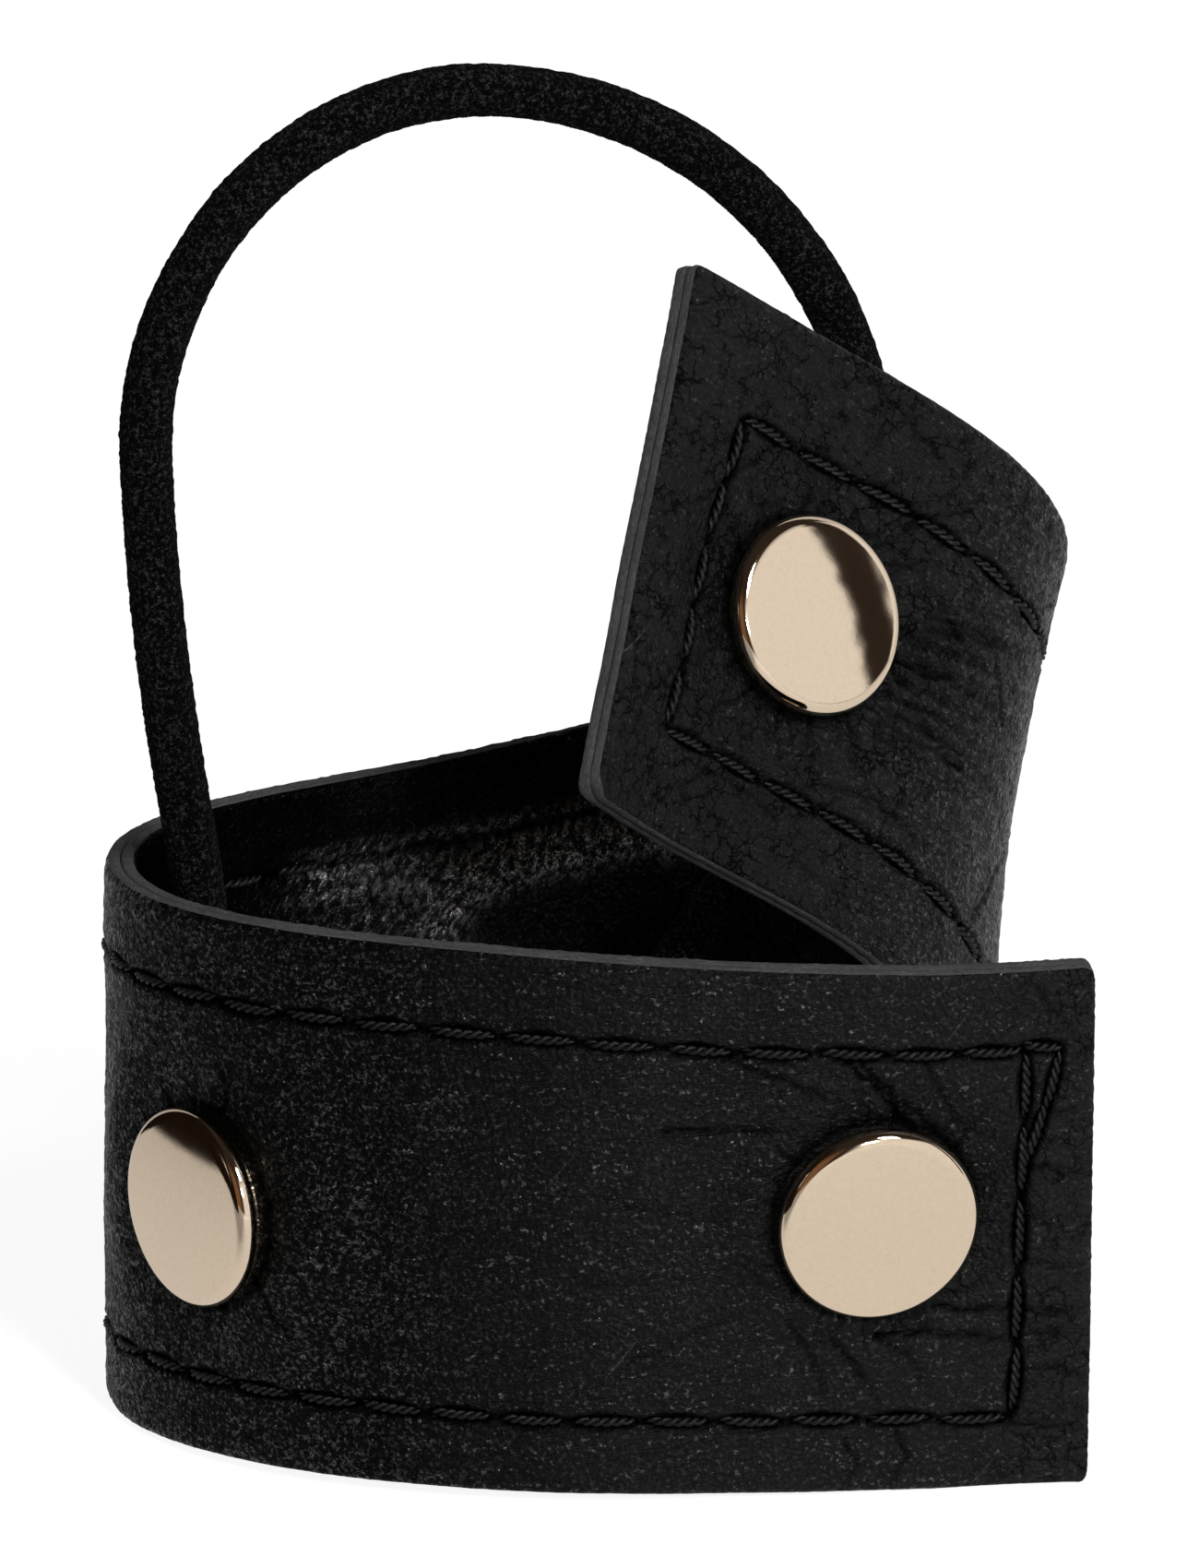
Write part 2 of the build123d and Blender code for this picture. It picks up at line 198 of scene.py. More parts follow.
def cell_gap(x, y, seed):
    """Distance to the second nearest less the nearest of one jittered point per unit cell."""
    ix, iy = np.floor(x), np.floor(y)
    nearest = np.full(x.shape, 9.0)
    second = np.full(x.shape, 9.0)
    for dx in (-1, 0, 1):
        for dy in (-1, 0, 1):
            px = ix + dx + 0.1 + 0.8 * hash01(ix + dx, iy + dy, seed)
            py = iy + dy + 0.1 + 0.8 * hash01(ix + dx, iy + dy, seed + 7)
            distance = np.hypot(px - x, py - y)
            second = np.where(distance < nearest, nearest, np.minimum(second, distance))
            nearest = np.minimum(nearest, distance)
    return second - nearest


def smooth(start, end, x):
    t = np.clip((x - start) / (end - start), 0, 1)
    return t * t * (3 - 2 * t)


def band(x, rise, fall):
    """Smooth step up over the rise interval and down over the fall interval."""
    return smooth(*rise, x) * (1 - smooth(*fall, x))


def bell(distance, width):
    return np.exp(-(distance / width) ** 2)


def polyline_distance(along, across, points):
    """Distance to a line on the strap, and the fraction of its length reached, 0 to 1."""
    best = np.full(along.shape, 99.0)
    fraction = np.zeros(along.shape)
    points = np.array(points, float)
    lengths = np.hypot(*(points[1:] - points[:-1]).T)
    total = lengths.sum()
    passed = 0
    for start, end, length in zip(points[:-1], points[1:], lengths):
        step = end - start
        t = ((along - start[0]) * step[0] + (across - start[1]) * step[1]) / (length ** 2 + 1e-9)
        t = np.clip(t, 0, 1)
        distance = np.hypot(along - start[0] - t * step[0], across - start[1] - t * step[1])
        near = distance < best
        fraction = np.where(near, (passed + t * length) / total, fraction)
        best = np.where(near, distance, best)
        passed += length
    return best, fraction


def near_box(along, across, points, margin):
    """Mask of places within the points' bounding box and its margin."""
    low, high = np.min(points, 0) - margin, np.max(points, 0) + margin
    return (along > low[0]) & (along < high[0]) & (across > low[1]) & (across < high[1])


# ---------------------------------------------------------------- stitches
def seam_narrowing(along):
    """0 to 1 as the seams draw in towards the flap."""
    return np.clip((np.asarray(along, float) - 125) / 30.0, 0, 1)


def top_seam(along):
    return WIDTH / 2 - (5.2 + 2.3 * seam_narrowing(along))


def low_seam(along):
    return -WIDTH / 2 + (4.8 + 1.4 * seam_narrowing(along))


def list_stitches():
    """Every stitch as ((along, across), (along, across)): both rows, both ends, back-tack."""
    inset = 0.35                          # half the gap between neighbouring stitches
    rng = np.random.RandomState(4)
    stitches = []
    run = LENGTH - FRONT_MARGIN - FLAP_MARGIN
    count = int(round(run / STITCH))
    pitch = run / count
    for i in range(count):
        start = FRONT_MARGIN + i * pitch + inset
        end = FRONT_MARGIN + (i + 1) * pitch - inset
        for seam in (top_seam, low_seam):
            j = rng.uniform(-0.12, 0.12, 4)
            stitches.append(((start + j[0], float(seam(start)) + j[1]),
                             (end + j[2], float(seam(end)) + j[3])))
    for place in (FRONT_MARGIN, LENGTH - FLAP_MARGIN):
        low, top = float(low_seam(place)), float(top_seam(place))
        count = int(round((top - low) / STITCH))
        pitch = (top - low) / count
        for i in range(count):
            j = rng.uniform(-0.1, 0.1, 4)
            stitches.append(((place + j[0], low + i * pitch + inset + j[1]),
                             (place + j[2], low + (i + 1) * pitch - inset + j[3])))
    # back-tacked corner at the front end: the row overruns and turns back
    top = float(top_seam(5))
    stitches.append(((FRONT_MARGIN + 0.3, top + 0.35), (2.2, top + 0.1)))
    stitches.append(((2.3, top - 0.3), (3.1, top - 3.9)))
    stitches.append(((3.1, top - 3.6), (4.3, top - 7.6)))
    return stitches


STITCHES = list_stitches()
BACK_TACKS = 3

# ---------------------------------------------------------------- creases in the face leather
# Each is ([(along, across), ...], depth, half width).
FRONT_CREASES = [
    ([(26.5, 6.6), (22.6, 6.9), (19.2, 7.1), (16.6, 7.2)], 0.16, 0.22),
    ([(25.0, 12.2), (21.5, 10.9), (17.6, 9.4), (14.8, 8.3), (12.6, 7.6)], 0.16, 0.22),
    ([(16.2, 11.6), (14.0, 10.0), (11.7, 7.0), (9.6, 4.6), (7.1, 2.6), (5.2, 1.6)], 0.24, 0.24),
    ([(15.2, 11.6), (12.8, 9.4), (10.2, 6.9), (8.4, 5.0), (7.5, 2.0)], 0.18, 0.2),
    ([(10.9, 11.4), (9.6, 8.8), (8.3, 6.9), (5.6, 6.0)], 0.12, 0.2),
    ([(9.4, -5.0), (7.6, -5.2), (5.0, -4.9), (3.2, -5.3), (0.2, -5.1)], 0.18, 0.22),
    ([(12.8, -6.7), (10.2, -6.6), (7.8, -6.7), (5.4, -7.0), (3.4, -6.8), (0.2, -6.8)], 0.18, 0.24),
    ([(9.2, -4.2), (6.8, -3.6), (5.2, -2.2)], 0.12, 0.2),
    ([(18.4, -5.6), (17.2, -7.4), (16.2, -9.0), (16.0, -11.2)], 0.14, 0.2),
    ([(15.6, -6.9), (14.2, -8.5), (12.9, -10.6), (12.4, -12.2)], 0.16, 0.22),
    ([(13.0, -6.8), (11.0, -7.9), (9.8, -9.8), (8.9, -11.2)], 0.14, 0.22),
    ([(11.4, -13.2), (10.6, -14.8), (11.6, -17.0)], 0.16, 0.2),
    ([(14.4, -13.6), (13.4, -15.2), (14.6, -17.2)], 0.14, 0.2),
    ([(4.4, -12.8), (2.6, -13.2), (0.2, -13.2)], 0.14, 0.2),
    ([(4.0, 16.2), (2.8, 14.6), (1.4, 13.0), (0.2, 11.8)], 0.12, 0.2),
    ([(4.2, 4.4), (2.4, 4.1), (0.3, 3.4)], 0.12, 0.2),
    ([(4.1, 7.6), (2.6, 7.9), (0.4, 6.4)], 0.10, 0.2),
    ([(4.0, -2.0), (2.2, -2.4), (0.3, -2.4)], 0.12, 0.2),
    ([(4.2, -9.4), (2.6, -9.0), (0.4, -9.8)], 0.10, 0.2),
    ([(30.0, 2.0), (25.0, 1.2), (21.4, 0.6)], 0.07, 0.2),
    ([(31.0, -3.4), (26.0, -3.0), (21.0, -2.8)], 0.07, 0.2),
    ([(28.0, -8.6), (23.5, -6.2), (19.6, -4.4)], 0.08, 0.2),
]
# Snap, number of creases, outer radius, seed, depth.
RADIAL_CREASES = [("b", 15, 10.0, 11, 0.16), ("m", 13, 9.6, 5, 0.14), ("a", 10, 8.4, 8, 0.10)]
# Start along, start across, heading in radians, length, depth.
SOFT_CREASES = [
    (157, 9, 2.6, 9, 0.12), (160, -9, 0.4, 11, 0.14), (158, -3, 0.1, 9, 0.10),
    (164, 12, -0.5, 10, 0.12), (150, 6, 1.2, 12, 0.12), (147, -2, 1.4, 12, 0.12),
    (152, -10, 1.8, 10, 0.12), (144, 8, -1.4, 13, 0.10), (155, 2, 0.9, 8, 0.10),
    (178, 9, -0.8, 8, 0.12), (183, 3, 2.4, 7, 0.10), (180, -8, 0.9, 8, 0.12),
    (170, -13, 0.3, 10, 0.12), (167, 14, 0.2, 12, 0.10), (140, -9, 1.5, 14, 0.10),
    (184, -12, 1.9, 7, 0.10), (161, 4, 0.3, 6, 0.10), (176, -12, -0.4, 8, 0.10),
    (136, 3, 1.3, 12, 0.08)]


def radial_creases(snap, count, outer, seed, depth):
    """Wavering creases running out from a snap."""
    rng = np.random.RandomState(seed)
    creases = []
    for i in range(count):
        angle = 2 * math.pi * (i + rng.uniform(-0.3, 0.3)) / count
        radius = FAN_START
        limit = outer * rng.uniform(0.75, 1.25)
        points = []
        while radius < limit:
            points.append((snap.along + radius * math.cos(angle),
                           snap.across + radius * math.sin(angle)))
            radius += 1.3
            angle += rng.uniform(-0.10, 0.10)
        if len(points) > 1:
            creases.append((points, depth * rng.uniform(0.5, 1.1), rng.uniform(0.16, 0.26)))
    return creases


def wandering_line(along, across, heading, length, seed):
    rng = np.random.RandomState(seed)
    step = 1.2
    points = [(along, across)]
    for _ in range(int(length / step)):
        heading += rng.uniform(-0.25, 0.25)
        along += step * math.cos(heading)
        across += step * math.sin(heading)
        points.append((along, across))
    return points


def right_bend_creases():
    """Creases fanning from the flap snap back round the right bend."""
    creases = []
    fraction = np.linspace(0, 1, 9)
    for i, across in enumerate(np.linspace(-4.6, 5.4, 11)):
        rng = np.random.RandomState(70 + i)
        start = 165.4 - 0.10 * across ** 2 / 2 + rng.uniform(-1.0, 0.6)
        end = 150.0 + rng.uniform(-2.5, 3.5)
        drift = np.cumsum(rng.uniform(-0.22, 0.22, 9))
        line = across * (1 + 0.45 * fraction) + 2.4 * fraction + drift
        points = [(start + (end - start) * f, v) for f, v in zip(fraction, line)]
        creases.append((points, rng.uniform(0.06, 0.13), rng.uniform(0.26, 0.40)))
    return creases


CREASES = list(FRONT_CREASES)
for key, *fan in RADIAL_CREASES:
    CREASES += radial_creases(SNAPS[key], *fan)
for i, (*line, depth) in enumerate(SOFT_CREASES):
    CREASES.append((wandering_line(*line, seed=40 + i), depth, 0.2))
CREASES += right_bend_creases()


# ---------------------------------------------------------------- surface relief
def settle(along, across, points, turned):
    """Outward shift of the strap: drawn to each snap's flat seat, with a slow waviness."""
    shift = np.zeros(along.shape)
    for snap in SNAPS.values():
        seat, normal, _ = snap_frame(snap, turned)
        radius = np.hypot(along - snap.along, across - snap.across)
        height = (points - seat) @ normal
        hold = 1 - smooth(6.5, snap.reach, radius)
        shift = shift + np.where(radius < snap.reach, -(height + 0.03) * hold, 0)
    waves = (0.16 * noise2(along / 15.0, across / 11.0, 3)
             + 0.07 * noise2(along / 6.0, across / 6.0, 4))
    return shift + waves


def press_stitches(along, across, height, hollow_shade):
    """Each stitch lies in its own lens-shaped hollow, pinched at the holes, with painted shade in
    the hollow and the holes.
    """
    for start, end in STITCHES:
        near = near_box(along, across, (start, end), 1.4)
        if not near.any():
            continue
        s, v = along[near], across[near]
        step = np.array(end) - np.array(start)
        length = np.hypot(*step)
        u = ((s - start[0]) * step[0] + (v - start[1]) * step[1]) / length ** 2
        off = np.abs(((s - start[0]) * step[1] - (v - start[1]) * step[0]) / length)
        lens = 0.20 + 0.42 * np.sqrt(np.clip(np.sin(np.pi * np.clip(u, 0, 1)), 0, 1))
        inside = band(u, (-0.10, 0.02), (0.98, 1.10))
        hollow = 0.30 * (1 - smooth(0.25 * lens, 1.25 * lens, off))
        height[near] -= inside * (hollow - 0.05 * bell(off - 1.5 * lens, 0.3))
        hollow_shade[near] = np.maximum(hollow_shade[near], inside * (1 - smooth(0.7 * lens, 1.15 * lens, off)))
        for hole in (start, end):
            squared = (s - hole[0]) ** 2 + (v - hole[1]) ** 2
            height[near] -= 0.20 * np.exp(-squared / 0.10)
            hollow_shade[near] += np.exp(-squared / 0.12)


def fold_creases(along, across, height, hollow_shade):
    """Each crease is a groove that fades along its length, with a raised lip either side and
    painted shade in the groove.
    """
    for points, depth, half in CREASES:
        near = near_box(along, across, points, 1.5)
        if not near.any():
            continue
        s, v = along[near], across[near]
        off, fraction = polyline_distance(s + 0.22 * noise2(s / 0.9, v / 0.9, 21),
                                          v + 0.22 * noise2(s / 0.9, v / 0.9, 22), points)
        fade = np.sin(np.clip(0.12 + 0.86 * (1 - fraction), 0, 1) * math.pi / 2)
        height[near] += depth * fade * (
            -bell(off, half) + 0.35 * bell(off - 2.4 * half, 1.3 * half))
        hollow_shade[near] += min(5.5 * depth, 1.2) * fade * bell(off, 0.8 * half)


def pucker_caps(along, across, height, hollow_shade):
    for snap in SNAPS.values():
        radius = np.hypot(along - snap.along, across - snap.across)
        angle = np.arctan2(across - snap.across, along - snap.along)
        ring = band(radius, (6.2, 6.9), (7.5, 11.5))
        height += snap.pucker * ring * noise2(angle * 3.2 + 5, radius / 3.0, snap.pucker_seed)
        height -= 0.16 * bell(radius - 6.3, 0.5)
        height += 0.05 * bell(radius - 7.7, 0.8)
        # painted shade: a dark ring where the cap's edge meets the leather
        hollow_shade += 0.8 * bell(radius - 6.3, 0.35)


def pebble(along, across, size, pull, pull_size, edge, seed):
    """Raised grain cells, size (along, across), with boundaries pulled about by noise."""
    s, v = along / pull_size, across / pull_size
    gap = cell_gap(along / size[0] + pull * noise2(s, v, seed + 1),
                   across / size[1] + pull * noise2(s, v, seed + 2), seed)
    return smooth(0.0, edge, np.clip(gap, 0, 1)) - 0.7


def edge_rounding(along, across, depth, width):
    """How far the surface drops towards the nearest strap edge."""
    edge = np.minimum(np.minimum(WIDTH / 2 - np.abs(across), along), LENGTH - along)
    return depth * np.exp(-np.clip(edge, 0, 9) / width)


def relief_face(along, across):
    """Relief of the face leather, + outwards, and the painted shade of its stitch hollows, creases
    and cap edges, 0 to 1.
    """
    height = np.zeros(along.shape)
    hollow_shade = np.zeros(along.shape)
    press_stitches(along, across, height, hollow_shade)
    fold_creases(along, across, height, hollow_shade)
    pucker_caps(along, across, height, hollow_shade)
    # fine wrinkles, along the strap on the front and across it at the bends
    pull = 0.3 * noise2(along / 5, across / 5, 2)
    drawn = 1 - np.abs(noise2(along / 2.6 + pull, across / 0.75, 51))
    height -= 0.035 * smooth(0.75, 1.0, drawn) * band(along, (16, 22), (46, 60))
    pull = 0.3 * noise2(along / 5, across / 5, 6)
    crossing = 1 - np.abs(noise2(along / 0.8, across / 2.8 + pull, 52))
    bends = band(along, (128, 140), (160, 166)) + band(along, (48, 60), (84, 92))
    height -= 0.040 * smooth(0.72, 1.0, crossing) * bends
    # pebble grain, rougher where the strap is bent
    height += 0.028 * pebble(along, across, (1.15, 1.05), pull=0.3, pull_size=1, edge=0.35, seed=60)
    bent = band(along, (128, 138), (156, 164)) + band(along, (34, 44), (92, 100))
    pull = 0.5 * noise2(along / 1.6, across / 1.6, 15)
    height += bent * 0.045 * noise2(along / 0.75 + pull, across / 0.75, 64)
    height -= edge_rounding(along, across, 0.26, 0.28)
    return height, np.clip(hollow_shade, 0, 1)


# Lines (along, across) of the lining's soft ridge and of the hollow below it.
RIDGE = [(101.3, 3.0), (102.6, 7.6), (104.6, 9.2), (109.3, 10.1), (115.0, 10.3), (121.0, 9.6),
         (131.0, 7.6)]
HOLLOW = [(107.0, -3.0), (111.0, 3.0), (118.0, 4.6), (126.0, 3.6)]


def shine(along, across):
    """Where the lining is polished: the ridge and the leather above and beside it."""
    off, fraction = polyline_distance(along, across, RIDGE)
    crest = bell(off, 1.3) * band(fraction, (0, 0.12), (0.80, 0.98))
    above = band(along, (90, 99), (120, 130)) * band(across, (8.6, 10.4), (12.0, 13.6))
    beside = band(along, (86, 99), (101, 105)) * band(across, (-9, -4), (9.0, 12.5))
    return np.clip(crest + 0.60 * above + 0.13 * beside, 0, 1)


def relief_lining(along, across):
    """Relief of the lining, + inwards of the loop, and the painted shade along its seams, 0 to 1.
    """
    height = np.zeros(along.shape)
    hollow_shade = np.zeros(along.shape)
    on_rows = (along > FRONT_MARGIN - 0.6) & (along < LENGTH - FLAP_MARGIN + 0.6)
    on_ends = (across > low_seam(along) - 0.5) & (across < top_seam(along) + 0.5)
    seams = [(on_rows, np.abs(across - seam(along))) for seam in (top_seam, low_seam)]
    seams += [(on_ends, np.abs(along - end)) for end in (FRONT_MARGIN, LENGTH - FLAP_MARGIN)]
    # painted shade along the seam grooves
    for inside, off in seams:
        height -= np.where(inside, 0.16 * bell(off, 0.5), 0)
        hollow_shade += np.where(inside, bell(off, 0.35), 0)
    # a soft ridge where the back panel starts to roll over
    off, fraction = polyline_distance(along, across, RIDGE)
    height += 0.95 * bell(off, 2.3) * smooth(0, 0.15, fraction)
    off, _ = polyline_distance(along, across, HOLLOW)
    height -= 0.75 * bell(off, 3.0)
    # wrinkles above the ridge, then fine ones across the back
    over_ridge = smooth(4.0, 8.0, across - 0.2 * (along - 104) * (along < 108))
    above = band(along, (86, 100), (126, 140)) * over_ridge * (1 - smooth(12.5, 14.5, across))
    pull = 0.6 * noise2(along / 3, across / 3, 12)
    height += above * (0.16 * noise2(along / 1.5 + pull, across / 2.0, 75)
                       + 0.10 * noise2(along / 0.8, across / 1.0, 76))
    pull = 0.5 * noise2(along / 4, across / 4, 8)
    crossing = 1 - np.abs(noise2(along / 1.1 + pull, across / 2.2, 71))
    height -= 0.05 * smooth(0.6, 1.0, crossing) * band(along, (84, 100), (140, 160))
    height += 0.035 * pebble(along, across, (1.0, 0.9), pull=0.35, pull_size=1.3, edge=0.4, seed=80)
    height -= edge_rounding(along, across, 0.20, 0.25)
    return height, np.clip(hollow_shade, 0, 1)


# ---------------------------------------------------------------- mesh helpers
def metres(points):
    return np.asarray(points, np.float32) * MM


def new_mesh(name, points, quads, materials, triangles=(), face_material=None, attributes=None,
             normals=None):
    """Smooth-shaded object from points in metres."""
    mesh = bpy.data.meshes.new(name)
    quads = np.asarray(quads, np.int32)
    triangles = np.asarray(triangles, np.int32).reshape(-1, 3)
    corners = np.concatenate([quads.ravel(), triangles.ravel()])
    sizes = np.repeat([4, 3], [len(quads), len(triangles)]).astype(np.int32)
    mesh.vertices.add(len(points))
    mesh.vertices.foreach_set("co", np.asarray(points, np.float32).ravel())
    mesh.loops.add(len(corners))
    mesh.loops.foreach_set("vertex_index", corners)
    mesh.polygons.add(len(sizes))
    mesh.polygons.foreach_set("loop_start", (np.cumsum(sizes) - sizes).astype(np.int32))
    mesh.polygons.foreach_set("loop_total", sizes)
    if face_material is not None:
        mesh.polygons.foreach_set("material_index", np.asarray(face_material, np.int32))
    mesh.update(calc_edges=True)
    mesh.validate()
    for material in materials:
        mesh.materials.append(material)
    mesh.polygons.foreach_set("use_smooth", np.ones(len(mesh.polygons), bool))
    for key, values in (attributes or {}).items():
        values = np.asarray(values, np.float32)
        kind, field = ("FLOAT_VECTOR", "vector") if values.ndim == 2 else ("FLOAT", "value")
        mesh.attributes.new(key, kind, "POINT").data.foreach_set(field, values.ravel())
    if normals is not None:
        mesh.normals_split_custom_set_from_vertices([tuple(n) for n in normals])
    return add_object(name, mesh)


def add_object(name, data):
    obj = bpy.data.objects.new(name, data)
    bpy.context.scene.collection.objects.link(obj)
    return obj


def weld(obj):
    """Joins coincident vertices, so the poles of a turned part are closed."""
    distance = 0.002
    bm = bmesh.new()
    bm.from_mesh(obj.data)
    bmesh.ops.remove_doubles(bm, verts=bm.verts, dist=distance * MM)
    bmesh.ops.dissolve_degenerate(bm, edges=bm.edges, dist=distance * MM * 0.2)
    bmesh.ops.recalc_face_normals(bm, faces=bm.faces)
    bm.to_mesh(obj.data)
    bm.free()


def vertex_normals(points, quads):
    diagonal_a = points[quads[:, 2]] - points[quads[:, 0]]
    diagonal_b = points[quads[:, 3]] - points[quads[:, 1]]
    face_normals = np.cross(diagonal_a, diagonal_b)
    normals = np.zeros_like(points)
    for k in range(4):
        np.add.at(normals, quads[:, k], face_normals)
    return normals / np.maximum(np.linalg.norm(normals, axis=1)[:, None], 1e-12)


def tube(path, radius, sides, closed=False):
    """Points and quads of a round tube; radius is one value or one per path point."""
    count = len(path)
    if closed:
        tangents = np.roll(path, -1, 0) - np.roll(path, 1, 0)
    else:
        tangents = np.gradient(path, axis=0)
    tangents /= np.linalg.norm(tangents, axis=1)[:, None]
    side = np.cross(tangents[0], [0, 0, 1.0])
    if np.linalg.norm(side) < 1e-3:
        side = np.cross(tangents[0], [0, 1.0, 0])
    side_list = []
    for tangent in tangents:
        side = side - tangent * (side @ tangent)
        side /= np.linalg.norm(side)
        side_list.append(side)
    side_dirs = np.array(side_list)
    up_dirs = np.cross(tangents, side_dirs)
    angle = np.linspace(0, 2 * math.pi, sides, endpoint=False)
    points = path[:, None, :] + np.broadcast_to(radius, count)[:, None, None] * (
        np.cos(angle)[None, :, None] * side_dirs[:, None, :]
        + np.sin(angle)[None, :, None] * up_dirs[:, None, :])
    index = np.arange(count * sides).reshape(count, sides)
    beside = np.roll(index, -1, 1)
    if closed:
        quads = np.stack([index, beside, np.roll(beside, -1, 0), np.roll(index, -1, 0)], -1)
    else:
        quads = np.stack([index[:-1], beside[:-1], beside[1:], index[1:]], -1)
    return points.reshape(-1, 3), quads.reshape(-1, 4)


def revolve(profile, origin, axis, side, segments=160):
    """Surface of revolution of a (radius, height) profile."""
    profile = np.array(profile, float)
    angle = np.linspace(0, 2 * math.pi, segments, endpoint=False)
    ring = np.cos(angle)[:, None] * side + np.sin(angle)[:, None] * np.cross(axis, side)
    points = (origin + profile[:, 1][:, None, None] * axis
              + profile[:, 0][:, None, None] * ring[None])
    index = np.arange(len(profile) * segments).reshape(-1, segments)
    beside = np.roll(index, -1, 1)
    quads = np.stack([index[:-1], beside[:-1], beside[1:], index[1:]], -1)
    return points.reshape(-1, 3), quads.reshape(-1, 4)


# ---------------------------------------------------------------- shader helpers
class Signal:
    """An output socket; arithmetic on it adds Math nodes."""

    def __init__(self, graph, socket):
        self.graph = graph
        self.socket = socket

    def math(self, operation, *others):
        return self.graph.math(operation, self, *others)

    def __add__(self, other):
        return self.math("ADD", other)

    def __sub__(self, other):
        return self.math("SUBTRACT", other)

    def __rsub__(self, other):
        return self.graph.math("SUBTRACT", other, self)

    def __mul__(self, other):
        return self.math("MULTIPLY", other)

    def times_plus(self, factor, addend):
        return self.math("MULTIPLY_ADD", factor, addend)

    def max(self, other):
        return self.math("MAXIMUM", other)

    def clamped(self):
        """Clamps the Math node behind this signal to 0..1."""
        self.socket.node.use_clamp = True
        return self

    def ramp(self, over, to=(0.0, 1.0), kind="LINEAR"):
        """Maps the interval `over` to the interval `to`, clamped."""
        inputs = {"Value": self, "From Min": over[0], "From Max": over[1],
                  "To Min": to[0], "To Max": to[1]}
        return self.graph.signal("MapRange", inputs, clamp=True, interpolation_type=kind)

    def step(self, start, end):
        return self.ramp((start, end), kind="SMOOTHSTEP")

    def lines(self, full, gone):
        """Thin lines where a noise crosses its middle."""
        return (self - 0.5).math("ABSOLUTE").ramp((gone, full))


class Graph:
    """Builds the node tree of a material or world."""

    def __init__(self, owner):
        owner.use_nodes = True
        self.tree = owner.node_tree
        self.tree.nodes.clear()

    def feed(self, node, inputs):
        for key, value in inputs.items():
            if isinstance(value, Signal):
                self.tree.links.new(value.socket, node.inputs[key])
            else:
                node.inputs[key].default_value = value

    def node(self, kind, inputs=None, **settings):
        node = self.tree.nodes.new("ShaderNode" + kind)
        for key, value in settings.items():
            setattr(node, key, value)
        self.feed(node, inputs or {})
        return node

    def signal(self, kind, inputs=None, output=0, **settings):
        return Signal(self, self.node(kind, inputs, **settings).outputs[output])

    def signals(self, kind, outputs, inputs=None):
        """Several outputs of one node."""
        node = self.node(kind, inputs)
        return [Signal(self, node.outputs[key]) for key in outputs]

    def math(self, operation, *operands):
        return self.signal("Math", dict(enumerate(operands)), operation=operation)

    def vector_math(self, operation, *operands, output="Vector"):
        inputs = dict(enumerate(operands))
        return self.signal("VectorMath", inputs, output, operation=operation)

    def mix(self, factor, first, second):
        """Colour mix; plain colours are (r, g, b)."""
        first, second = (c if isinstance(c, Signal) else (*c, 1) for c in (first, second))
        return self.signal("Mix", {0: factor, 6: first, 7: second}, 2, data_type="RGBA")

    def noise(self, vector, scale, detail=2.0, roughness=0.5, output="Fac"):
        inputs = {"Vector": vector, "Scale": scale, "Detail": detail, "Roughness": roughness,
                  "Distortion": 0.0}
        return self.signal("TexNoise", inputs, output)

    def bump(self, height, distance, normal=None, strength=1.0):
        """Distance in mm."""
        inputs = {"Strength": strength, "Distance": distance * MM, "Height": height}
        if normal is not None:
            inputs["Normal"] = normal
        return self.signal("Bump", inputs)

    def attribute(self, name, output="Fac"):
        return self.signal("Attribute", output=output, attribute_name=name)

    def scaled(self, vector, *scale):
        return self.signal("Mapping", {"Vector": vector, "Scale": scale})

    def object_place(self):
        return self.signal("TexCoord", output="Object")

    def object_mm(self):
        return self.scaled(self.object_place(), 1000, 1000, 1000)

    def grain(self, vector, turn, scale, shift=0.0, detail=3.0, roughness=0.6):
        """Noise turned by an angle and stretched, so that it runs one way."""
        turned = self.signal("VectorRotate", {"Vector": vector, "Angle": turn},
                             rotation_type="Z_AXIS")
        mapped = self.signal("Mapping", {"Vector": turned, "Scale": (*scale, 1.0),
                                         "Location": (shift, shift * 0.7, 0)})
        return self.noise(mapped, 1.0, detail, roughness)


class Material(Graph):
    """A Principled surface."""

    def __init__(self, name):
        self.material = bpy.data.materials.new(name)
        super().__init__(self.material)
        output = self.node("OutputMaterial")
        self.principled = self.node("BsdfPrincipled")
        self.feed(output, {0: Signal(self, self.principled.outputs[0])})

    def surface(self, inputs):
        self.feed(self.principled, inputs)
        return self.material


# ---------------------------------------------------------------- leather material
FALL = (1.0, 0.0)


def radial_lines(mat, place, snap, frequency, outer):
    """Fine lines fanning out round a snap."""
    offset = mat.vector_math("SUBTRACT", place, (snap.along, snap.across, 0))
    flat = mat.vector_math("MULTIPLY", offset, (1, 1, 0))
    radius = mat.vector_math("LENGTH", flat, output="Value")
    direction = mat.vector_math("NORMALIZE", flat)
    ring = mat.signal("VectorMath", {0: direction, "Scale": frequency}, operation="SCALE")
    climb = mat.signal("CombineXYZ", {"Z": radius * 0.22})
    noise = mat.noise(mat.vector_math("ADD", ring, climb), 1.0, detail=2.0, roughness=0.55)
    inner = radius.ramp((FAN_START - 0.2, FAN_START + 0.2))
    return noise.lines(0.006, 0.035) * (inner * radius.ramp((FAN_START + 0.6, outer), FALL))


